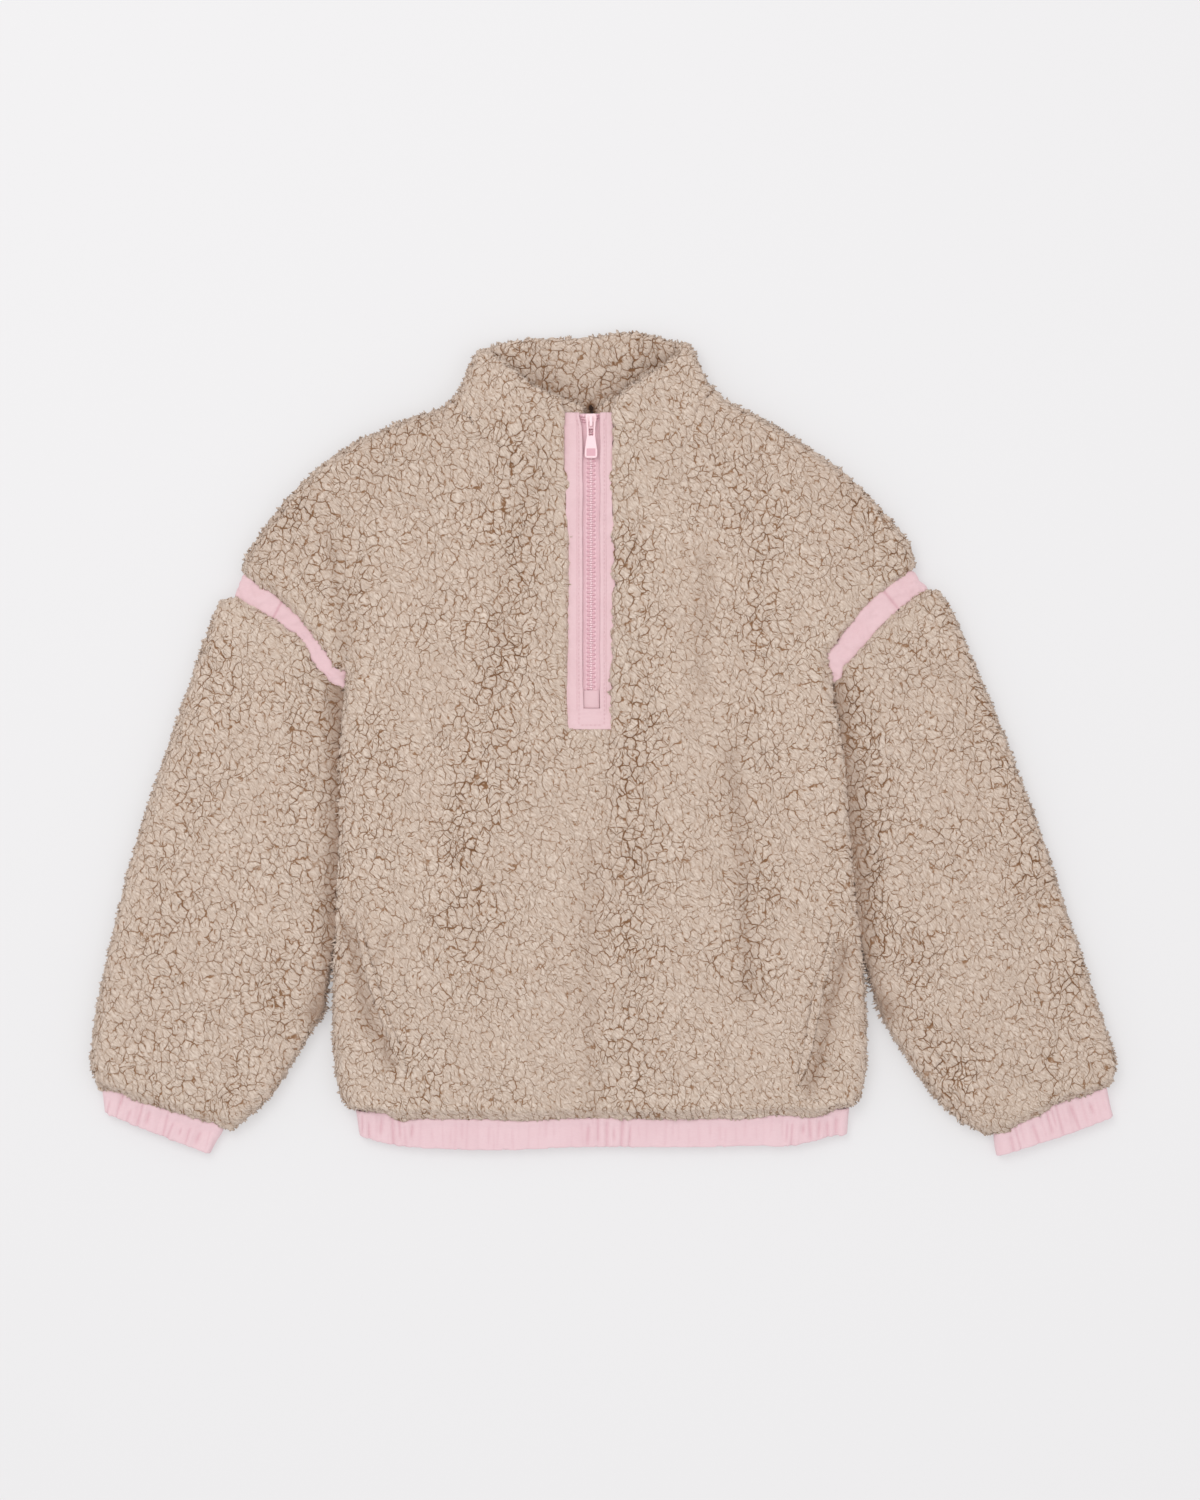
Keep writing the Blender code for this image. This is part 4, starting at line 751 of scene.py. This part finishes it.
def tufts(mesh, share, seed):
    """Pointed tufts of pile that stand out sideways round a piece's rim, so that its outline is
    as ragged as the photograph's."""
    co, no = points_of(mesh), normals_of(mesh)
    rng = np.random.default_rng(seed)
    rim = (np.abs(no[:, 2]) < 0.55) & (co[:, 2] > 4.0 * MM) & (rng.random(len(co)) < share)
    rim &= nearest(co[:, :2], FACING_LEFT + FACING_RIGHT, MM) > 3.5 * MM
    roots = np.nonzero(rim)[0]
    count = len(roots)
    co, no = co[roots], no[roots]

    def unit(v):
        return v / np.linalg.norm(v, axis=1)[:, None]

    out = unit(no * (1.0, 1.0, 0.4) + (0.0, -0.3, 0.0) + rng.normal(scale=0.28, size=(count, 3)))
    aside = unit(np.cross(out, rng.normal(size=(count, 3))))
    other = np.cross(out, aside)
    free = ramp_mm(nearest(co[:, :2], TRIM_LINES, MM), 3.0, 9.0)
    over_sleeve = ramp(nearest(to_px(co), BODY_EDGES), 14.0, 6.0)
    shaggy = 0.4 + 0.4 * free + 0.6 * over_sleeve
    length = (rng.uniform(1.1, 3.0, count) * shaggy)[:, None] * MM
    radius = rng.uniform(0.65, 1.2, count)[:, None] * MM
    curl = rng.normal(scale=0.35, size=(count, 1)) * length
    rings = []
    for along, thick_share, bent in ((-0.35, 1.0, 0.0), (0.5, 0.72, 0.3)):
        middle = co + out * along * length + aside * curl * bent
        for turn in (0.0, 0.5, 1.0, 1.5):
            around = aside * math.cos(turn * math.pi) + other * math.sin(turn * math.pi)
            rings.append(middle + around * radius * thick_share)
    rings.append(co + out * length + aside * curl)
    points = len(rings)
    verts = np.stack(rings, axis=1).reshape(-1, 3)
    one = [(k, (k + 1) % 4, (k + 1) % 4 + 4, k + 4) for k in range(4)]
    one += [(k + 4, (k + 1) % 4 + 4, 8) for k in range(4)] + [(3, 2, 1, 0)]
    faces = [tuple(points * n + k for k in face) for n in range(count) for face in one]
    more = new_mesh("tufts", verts.tolist(), faces)
    for name, kept in (("rest", 1.0), ("flow", 1.0), ("crackle", 0.3), ("shade", 1.0)):
        values = kept * np.repeat(stored(mesh, name)[roots], points, axis=0)
        if name == "rest":
            values += verts - np.repeat(co, points, axis=0)
        store(more, name, values)
    return merged(mesh, more)


def sherpa_piece(
    name, node, voxel, shape=closed_seams, shade_at=None,
    hidden_at=None, left=0, hollow_at=None, high=1.5, tufted=0.2,
):
    """Pile on the form of a CAD node.  Faces where hidden_at are made fewer, and faces where
    hollow_at, inside a tube, stay as they are in the node.  voxel and high are in mm."""
    source = NODES[node].data.copy()
    if hollow_at:
        source = part_of(node, lambda co, no: ~hollow_at(co, no))
    mesh = finer(source, voxel)
    co, no = points_of(mesh), normals_of(mesh)
    if hidden_at:
        mesh = thinned(mesh, hidden_at(co, no), left)
        co, no = points_of(mesh), normals_of(mesh)
    co = shape(co, no)
    move_points(mesh, co)
    no = normals_of(mesh)
    crackle = crackle_at(co)
    store(mesh, "rest", co)
    store(mesh, "flow", flow_at(co))
    store(mesh, "crackle", crackle)
    outer = 1.0 - hidden_at(co, no) if hidden_at else 1.0
    rim = ramp(np.abs(no[:, 2]), 0.75, 0.3)
    plain = ramp_mm(nearest(co[:, :2], FACING_LEFT, MM), 2.0, 6.0)
    thick_pile = high * MM * (0.6 + 0.5 * crackle + 0.7 * rim)
    store(mesh, "pile", thick_pile * outer * (0.3 + 0.7 * plain))
    store(mesh, "shade", shade_at(co, no) if shade_at else np.zeros(len(co)))
    obj = add_object("pile", mesh)
    obj.modifiers.new("pile", "NODES").node_group = PILE
    mesh = baked(obj)
    mesh.attributes.remove(mesh.attributes["pile"])
    if tufted:
        mesh = tufts(mesh, tufted, len(name))
    co = points_of(mesh)
    co[:, 2] = np.maximum(co[:, 2], 0.0)
    move_points(mesh, co)
    if hollow_at:
        mesh = edited(mesh, lambda work: work.from_mesh(part_of(node, hollow_at)))
    return make_piece(name, mesh, SHERPA, node)


VALLEYS = (  # painted shade on the pile in the front's folds and behind the pockets
    (((731, 755), (742, 870), (748, 990)), 10, 0.24), (((703, 560), (700, 690)), 11, 0.16),
    (((590, 850), (588, 980), (592, 1110)), 11, 0.14),
    (((530, 480), (510, 560), (500, 640)), 10, 0.08),
    (((329, 530), (340, 600), (345, 650)), 8, 0.2),
    (((347, 926), (353, 948), (361, 986), (371, 1022), (385, 1040), (391, 1060)), 8, 0.36),
    (((843, 950), (841, 968), (830, 998), (827, 1016), (822, 1040), (818, 1060),
     (808, 1086)), 8, 0.4),
    (((389, 930), (377, 965)), 4, 0.2), (((270, 540), (420, 440)), 60, 0.06),
    (((740, 420), (870, 520)), 60, 0.06),
)


def front_shade(co, no):
    return ramp(no[:, 2], 0.0, 0.5) * np.max(along_ridges(to_px(co), VALLEYS), axis=0)


def side_shade(co, no):
    """Darker pile where a sleeve runs in under the body's side."""
    px = to_px(co)
    left, right = (near_line(px, line) for line in BODY_EDGES)
    dark = np.maximum(bell(left, 14.0), 0.85 * bell(right, 13.0))
    return ramp(no[:, 2], 0.0, 0.5) * (0.56 * dark + 0.02 * (px[:, 0] > PX_X))


def neck_shade(co, no):
    """Darker pile inside the collar, near the edges of its two fronts."""
    px = to_px(co)
    inner = near_line(px, [(528, 386), (560, 398), (590, 408), (628, 394), (656, 366)])
    gap = near_line(px, [(591, 407), (593, 418)]) + 99.0 * ramp_mm(co[:, 2], 17.0, 20.0)
    deep = ramp_mm(co[:, 2], 15.5, 11.5) * ramp(no[:, 2], 0.0, 0.4)
    return np.maximum(deep * (0.02 + 0.3 * bell(inner, 22.0)), 1.25 * bell(gap, 6.0))


front = sherpa_piece(
    "front_panel", "front", 1.55, front_shape, front_shade, lambda co, no: no[:, 2] < -0.45, 5000,
)
back = sherpa_piece("back_panel", "back", 2.1, hidden_at=lambda co, no: no[:, 2] > 0.45, left=7000)
sleeves = [
    sherpa_piece(
        f"sleeve_{side}_cloth", f"sleeve_{side}", 1.4, sleeve_shape, side_shade,
        hollow_at=sleeve_hidden,
    )
    for side in SIDES
]
collar = sherpa_piece("stand_collar", "collar", 1.3, collar_shape, neck_shade, high=1.4)
pockets = [
    sherpa_piece(f"pocket_{side}_edge", f"pocket_{side}", 0.8, high=0.9, tufted=0.0)
    for side in SIDES
]


# ======== pink woven pieces
def woven_piece(name, node, voxel, shape=None, material=WOVEN):
    mesh = finer(NODES[node].data.copy(), voxel)
    co, shade_and_tone = points_of(mesh), np.zeros(len(mesh.vertices))
    if shape:
        co, shade_and_tone = shape(co, normals_of(mesh))
        move_points(mesh, co)
    store(mesh, "shade_and_tone", shade_and_tone)
    return make_piece(name, mesh, material, node)


def gathers(along, across, places, seed, deep):
    """Puckers that an elastic draws across a band.  across runs from 0 at the seam to 1 at the
    band's edge.  Gives a height, and the painted shade in each crease's valley."""
    rng = np.random.default_rng(seed)
    height, dark = np.zeros(len(along)), np.zeros(len(along))
    for place, strength in places:
        start, end = rng.uniform(-0.3, 0.25), rng.uniform(0.75, 1.3)
        lean, wide = rng.uniform(-1.6, 1.6) * MM, rng.uniform(1.0, 1.9) * MM
        away = along - place - lean * (across - 0.5)
        reach = ramp(across, start, start + 0.3) * ramp(across, end, end - 0.3)
        valley = bell(away, wide) * reach * strength
        swell = bell(away - 2.2 * wide, 1.8 * wide) * reach * strength
        height += deep * (0.6 * swell - valley)
        dark += valley * bell(away, 0.7 * wide)
    return height, np.clip(dark, 0.0, 1.0)


def band_places(listed, at, last, seed):
    """The creases that the photograph shows, and faint ones between them."""
    rng = np.random.default_rng(seed)
    places = [(place, 1.0) for place in listed]
    while at < last:
        at += rng.uniform(3.2, 8.5) * MM
        if all(abs(at - place) > 2.6 * MM for place in listed):
            places.append((at, rng.uniform(0.15, 0.5)))
    return places


def puckered(co, no, *how):
    """An elastic band's shape, and the painted shade in its creases."""
    height, dark = gathers(*how)
    height = np.where(no[:, 2] > 0.0, height, 0.5 * height)
    co = pulled(co + no * height[:, None])
    co[:, 2] = np.maximum(co[:, 2], 0.0)
    return co, 0.75 * dark


HEM_CREASES_PX = (
    362, 369, 381, 393, 400, 412, 588, 598, 607, 614, 622, 630, 787, 792, 803, 810, 819, 827, 836,
)
CUFF_CREASES_PX = {
    "left": (112, 122, 133, 143, 151, 169, 175, 184, 192, 202),
    "right": (1007, 1013, 1030, 1046, 1051, 1056, 1070, 1088),
}
HEM_SEAM_Y = -0.270
HEM_FOOT = (  # the band's lower edge, x and y
    (-0.1756, -0.1584, -0.110, -0.010, 0.0907, 0.149, 0.1762),
    (-0.2836, -0.2886, -0.293, -0.2914, -0.291, -0.2882, -0.2814),
)


def hem_shape(co, no):
    listed = [(x - PX_X) * PX for x in HEM_CREASES_PX]
    places = band_places(listed, -0.178, 0.176, 5)
    co = tucked(co, no, 1.8)
    deep = HEM_SEAM_Y - np.interp(co[:, 0], *HEM_FOOT)
    across = np.clip((HEM_SEAM_Y - co[:, 1]) / deep, 0.0, 1.0)
    return puckered(co, no, co[:, 0], across, places, 6, 0.75 * MM)


def cuff_shape(side):
    sign = -1.0 if side == "left" else 1.0
    top = Vector((sign * 0.362, -0.251))
    foot = Vector((sign * 0.269, -0.282))
    way = (foot - top).normalized()
    out = Vector((-sign * way.y, sign * way.x))

    def shape(co, no):
        xy = co[:, :2] - np.array(top)
        across = np.clip((xy @ np.array(out)) / 0.017, 0.0, 1.0)
        listed = [((x - PX_X) * PX - top.x) / way.x for x in CUFF_CREASES_PX[side]]
        places = band_places(listed, -0.005, 0.1, 11 if side == "left" else 12)
        co = tucked(co, no, 1.8)
        return puckered(co, no, xy @ np.array(way), across, places, 13, 0.8 * MM)

    return shape


def band_shape(co, no):
    """A strip with one seam across it; the left one's end goes on under the body."""
    swell = 0.35 * MM * waves(co, 0.012, 21) + 0.2 * MM * waves(co, 0.005, 22)
    px = to_px(co)
    groove = bell(nearest(px, (((282, 602), (275, 616)), ((883, 591), (898, 609)))), 1.2)
    co = pulled(tucked(co, no, 0.4) + no * (swell - 0.7 * MM * groove)[:, None])
    end = ramp(px[:, 0], 331.0, 342.0) * (px[:, 0] < PX_X)
    return co + np.outer(end, (4.0 * MM, 0.0, -1.0 * MM)), groove


hem = woven_piece("hem_band_cloth", "hem_band", 1.0, hem_shape, BAND_PAINTED_LIGHTER)
cuffs = [
    woven_piece(f"cuff_{side}_cloth", f"cuff_{side}", 0.9, cuff_shape(side), BAND_PAINTED_LIGHTER)
    for side in SIDES
]
bands = [
    woven_piece(f"armhole_{side}_strip", f"armhole_band_{side}", 0.9, band_shape)
    for side in SIDES
]


# ======== zip
CLIMB, CLIMB_FROM, CLIMB_TO = 5.1 * MM, 0.140, 0.186
FACING_TOP_Z = 16.0 * MM
TAPE_TOP_Z = 13.2 * MM
LIP_LEFT, LIP_RIGHT = -14.6 * MM, -2.2 * MM  # the folded edges beside the teeth
FOLD_LEFT, FOLD_RIGHT = -18.7 * MM, 2.2 * MM  # where each folded edge ends
STITCH_LEFT, STITCH_RIGHT = -17.3 * MM, 0.9 * MM
CHANNEL_FOOT = 24.6 * MM
TOOTH_PITCH = 3.3


def climb(y):
    """How far the zip rises at a height up the front, to pass over the collar."""
    return CLIMB * ramp(y, CLIMB_FROM, CLIMB_TO)


def grid_mesh(xs, ys, keep=None):
    """A flat grid, without the cells that keep() leaves out."""
    verts = [(x, y, 0.0) for y in ys for x in xs]
    wide = len(xs)
    faces = []
    for row in range(len(ys) - 1):
        for col in range(wide - 1):
            x, y = (xs[col] + xs[col + 1]) / 2, (ys[row] + ys[row + 1]) / 2
            if keep is None or keep(x, y):
                first = row * wide + col
                faces.append((first, first + 1, first + 1 + wide, first + wide))

    def drop_loose(work):
        loose = [vert for vert in work.verts if not vert.link_faces]
        bmesh.ops.delete(work, geom=loose, context="VERTS")

    return edited(new_mesh("grid", verts, faces), drop_loose)


def thick(mesh, depth):
    """The sheet as a closed solid, this deep below its face."""
    obj = add_object("thick", mesh)
    solid = obj.modifiers.new("thick", "SOLIDIFY")
    solid.thickness = depth
    solid.offset = -1.0
    return baked(obj)


def spread(start, end, step):
    return np.linspace(start, end, max(2, int(round((end - start) / step)) + 1))


def stations(*stretches):
    """Places along a side, from stretches given as start, end and step."""
    return np.unique(np.round(np.concatenate([spread(*stretch) for stretch in stretches]), 7))


def facing_height(x, y):
    """The facing's upper face, with the stitched folds along its opening."""
    above = ramp_mm(y, 20.0, 27.0)
    edge = 0.3 * MM
    lip = np.maximum(
        ramp(x, FOLD_LEFT - edge, FOLD_LEFT + edge) * (x < ZIP_X),
        ramp(x, FOLD_RIGHT + edge, FOLD_RIGHT - edge) * (x > ZIP_X),
    )
    z = 0.42 * MM * lip * (0.35 + 0.65 * above)
    stitch = np.minimum(np.abs(x - STITCH_LEFT), np.abs(x - STITCH_RIGHT))
    z -= 0.3 * MM * bell(stitch, 0.45 * MM) * above
    inside = np.where(x < ZIP_X, LIP_LEFT - x, x - LIP_RIGHT)
    z -= 0.7 * MM * np.exp(-np.clip(inside, 0.0, 1.0) / edge) * (y > CHANNEL_FOOT - 0.1 * MM)
    z += 0.16 * MM * waves(spots(x * 0.6, y), 0.011, 31)
    z += 0.09 * MM * waves(spots(x, y * 1.5), 0.004, 32)
    tuck = bell(np.abs(y - 20.5 * MM), 0.5 * MM)
    z -= 0.22 * MM * tuck * (np.abs(x - ZIP_X) < 7 * MM)
    return FACING_TOP_Z + climb(y) + z


def flare(y):
    """How far the opening's left edge turns aside, where the zip's two halves part at the top."""
    return 2.3 * MM * ramp_mm(y, 225.0, 236.0)


FACING_EDGES = (  # the photograph's rows and pixels across
    ((415, 470, 490, 520, 560, 727), (563.4, 564.2, 565.6, 566.3, 565.8, 565.0)),
    ((415, 480, 500, 515, 540), (612.6, 612.6, 611.4, 613.0, 614.6)),
)


def make_facing():
    xs = stations(
        (-28.9 * MM, -20.2 * MM, 0.8 * MM), (-20.0 * MM, -16.0 * MM, 0.3 * MM),
        (-15.6 * MM, LIP_LEFT, 0.2 * MM), (LIP_LEFT, LIP_RIGHT, 1.2 * MM),
        (LIP_RIGHT, -1.2 * MM, 0.2 * MM), (-0.9 * MM, 3.4 * MM, 0.3 * MM),
        (4.0 * MM, 8.6 * MM, 0.7 * MM),
    )
    ys = stations((9.8 * MM, CHANNEL_FOOT, 0.6 * MM), (CHANNEL_FOOT, 237.0 * MM, 1.25 * MM))
    mesh = grid_mesh(xs, ys, lambda x, y: not (LIP_LEFT < x < LIP_RIGHT and y > CHANNEL_FOOT))
    co = points_of(mesh)
    x, y = co[:, 0].copy(), co[:, 1].copy()
    beside = np.abs(x - ZIP_X)
    near_patch = 0.42 * MM * (ramp_mm(y, 40.0, 38.0) * ramp_mm(beside, 9.0, 6.4))
    co[:, 0] -= np.sign(x - ZIP_X) * near_patch * (y > CHANNEL_FOOT - 0.1 * MM)
    co[:, 1] += near_patch * (np.abs(y - CHANNEL_FOOT) < 0.1 * MM)
    co[:, 2] = facing_height(x, y) - 0.5 * MM * ramp_mm(beside, 15.0, 19.0)
    co[:, 0] -= flare(y) * ramp_mm(x, -21.5, -16.0) * (x < ZIP_X)
    along = spots(0 * x, co[:, 1])
    wavy = (0.3 * MM * waves(along, 0.009, 34), 0.4 * MM * waves(along, 0.006, 35))
    ends = ((-20.2 * MM, -28.9 * MM), (4.0 * MM, 8.6 * MM))
    for listed, wave, (inner, outer) in zip(FACING_EDGES, wavy, ends):
        edge = (np.interp(PX_Y - y / PX, *listed) - PX_X) * PX + wave
        share = (x - inner) / (outer - inner)
        co[:, 0] = np.where(share > 0.0, inner + share * (edge - inner), co[:, 0])
    co[:, 0] += 0.18 * MM * waves(spots(0 * x, y), 0.03, 33)
    move_points(mesh, co)
    mesh = thick(mesh, 1.5 * MM)
    x, y, _ = points_of(mesh).T
    fold = np.minimum(np.abs(x - FOLD_LEFT), np.abs(x - FOLD_RIGHT))
    store(mesh, "shade_and_tone", 0.45 * bell(fold, 0.35 * MM) * ramp_mm(y, 20, 27))
    return make_piece("zip_facing_cloth", mesh, WOVEN, "zip_facing")


def make_tape():
    xs, ys = spread(-18.4 * MM, 1.2 * MM, 0.45 * MM), spread(15.2 * MM, 236.4 * MM, 2.4 * MM)
    mesh = grid_mesh(xs, ys)
    co = points_of(mesh)
    beside = np.abs(co[:, 0] - ZIP_X)
    ribs = 0.07 * MM * np.cos(beside * 2.0 * math.pi / (1.35 * MM))
    bead = 0.5 * MM * bell(beside - 3.3 * MM, 0.6 * MM)
    co[:, 2] = TAPE_TOP_Z + climb(co[:, 1]) + ribs + bead
    move_points(mesh, co)
    mesh = thick(mesh, 0.7 * MM)
    beside = np.abs(points_of(mesh)[:, 0] - ZIP_X)
    # painted shade in the channel beside the teeth, and a darker tone over the whole tape
    store(mesh, "shade_and_tone", 0.3 * bell(beside - 4.4 * MM, 0.5 * MM) + 0.12)
    return make_piece("zip_tape_cloth", mesh, TAPE, "zip_tape")


TOOTH_SECTION = (  # shares of a tooth's size, along the zip and up
    (0.74, 0.0), (0.74, 0.75), (0.5, 1.15), (0.0, 1.25), (-0.5, 1.15), (-0.74, 0.75), (-0.74, 0.0),
)
TOOTH = (  # mm from the middle, size in mm and painted shade, from its foot on the tape to its tip
    (3.05, 0.55, 0.9), (2.8, 0.95, 0.8), (1.5, 0.9, 0.75), (0.7, 0.72, 0.6),
    (-0.1, 0.95, 0.15), (-0.65, 0.9, 0.0), (-0.85, 0.5, 0.3),
)
PARTED_TEETH = (  # height and side, and how far the halves part beside the slider's top
    (230.6, -1.0, 3.2), (232.6, -1.0, 4.3), (234.6, -1.0, 5.4),
    (231.4, 1.0, 2.2), (233.4, 1.0, 2.4), (235.3, 1.0, 2.7),
)


def tube(first, rings, corners):
    """Faces round a row of rings, closed at both ends.  first is the number of the first point."""
    last = first + (rings - 1) * corners
    faces = []
    for ring in range(first, last, corners):
        for k in range(corners):
            a, b = ring + k, ring + (k + 1) % corners
            faces.append((a, b, b + corners, a + corners))
    ends = [tuple(range(end, end + corners)) for end in (first, last)]
    return faces + [ends[0][::-1], ends[1]]


def make_teeth():
    """Moulded teeth, which reach past the middle from each side in turn."""
    verts, faces = [], []
    places = [(39.0 + TOOTH_PITCH / 2 * k, 1.0 if k % 2 else -1.0, 0.0) for k in range(114)]
    places += PARTED_TEETH
    n = len(TOOTH_SECTION)
    for y, side, parted in places:
        y *= MM
        slope = (climb(y + MM) - climb(y - MM)) / (2 * MM)
        first = len(verts)
        for out, size, _ in TOOTH:
            x = ZIP_X + side * (out + parted) * MM
            for along, up in TOOTH_SECTION:
                dy = along * size * MM
                high = (0.15 + up * (0.55 + 0.45 * size)) * MM
                verts.append((x, y + dy, TAPE_TOP_Z + climb(y) + slope * dy + high))
        shell = tube(first, len(TOOTH), n)
        faces += shell if side < 0 else [face[::-1] for face in shell]
    mesh = facing_out(new_mesh("teeth", verts, faces))
    # each ring's share of painted shade: darker at the teeth's feet and necks, so that their heads
    # read as lit
    recess = [row[2] for row in TOOTH]
    store(mesh, "recess", np.tile(np.repeat(recess, n), len(places)))
    return make_piece("zip_teeth", mesh, TEETH)


STITCH, STITCH_GAP, STITCH_WIDE = 2.3 * MM, 0.8 * MM, 0.26 * MM
STITCH_RINGS = (  # share of its length, size and lift in mm
    (0.0, 0.35, -0.16), (0.2, 0.9, 0.05), (0.5, 1.0, 0.16), (0.8, 0.9, 0.05), (1.0, 0.35, -0.16),
)


def add_stitches(verts, faces, line):
    """Small sunk stitches along a broken line on the facing."""
    line = np.asarray(line, float)
    run = np.concatenate([[0.0], np.cumsum(np.linalg.norm(np.diff(line, axis=0), axis=1))])
    at = STITCH_GAP
    while at + STITCH < run[-1]:
        start, end = (np.array([np.interp(at + d, run, v) for v in line.T]) for d in (0.0, STITCH))
        way = (end - start) / STITCH
        aside = np.array([-way[1], way[0]])
        first = len(verts)
        for share, size, lift in STITCH_RINGS:
            middle = start + way * share * STITCH
            for k in range(5):
                turn = 2 * math.pi * k / 5
                x, y = middle + aside * math.cos(turn) * STITCH_WIDE * size
                high = float(facing_height(np.array([x]), np.array([y]))[0]) + 0.05 * MM
                verts.append((x, y, high + lift * MM + math.sin(turn) * STITCH_WIDE * size))
        faces += tube(first, len(STITCH_RINGS), 5)
        at += STITCH + STITCH_GAP


def make_stitches():
    left = [(STITCH_LEFT - 0.9 * flare(y * MM), y * MM) for y in (12.5, 226.0, 229.0, 232.0, 235.5)]
    right = [(STITCH_RIGHT, 12.5 * MM), (STITCH_RIGHT, 235.5 * MM)]
    foot = [(-16.8 * MM, 12.9 * MM), (0.4 * MM, 12.9 * MM)]
    verts, faces = [], []
    for line in (left, right, foot):
        add_stitches(verts, faces, line)
    mesh = facing_out(new_mesh("stitches", verts, faces))
    store(mesh, "shade_and_tone", np.full(len(verts), 0.25))
    return make_piece("zip_stitches", mesh, WOVEN)


def tab_recess(co, no):
    """Where the pull tab's shallow bare recess is, near its foot."""
    inside = ramp_mm(np.abs(co[:, 0] - ZIP_X), 3.35, 2.95)
    inside *= ramp_mm(np.abs(co[:, 1] - 208.3 * MM), 2.85, 2.45)
    return inside * ramp(no[:, 2], 0.5, 0.9)


def metal_piece(name, node, voxel, recess_at=None):
    """The slider, or the pull tab, which rides on the body that its node is named after."""
    mesh = finer(NODES[node].data.copy(), voxel, 2)
    if recess_at:
        co = points_of(mesh)
        recess = recess_at(co, normals_of(mesh))
        co[:, 2] -= 0.32 * MM * recess
        move_points(mesh, co)
        store(mesh, "recess", 0.8 * recess)
    return make_piece(name, mesh, PAINTED, node, "pull_tab" if recess_at else "root")


facing = make_facing()
tape = make_tape()
teeth = make_teeth()
stitches = make_stitches()
patch = woven_piece("zip_end_cloth", "zip_end_patch", 0.35)
slider = metal_piece("slider_body", "slider", 0.22)
metal_piece("pull_tab_plate", "pull_tab", 0.25, tab_recess)
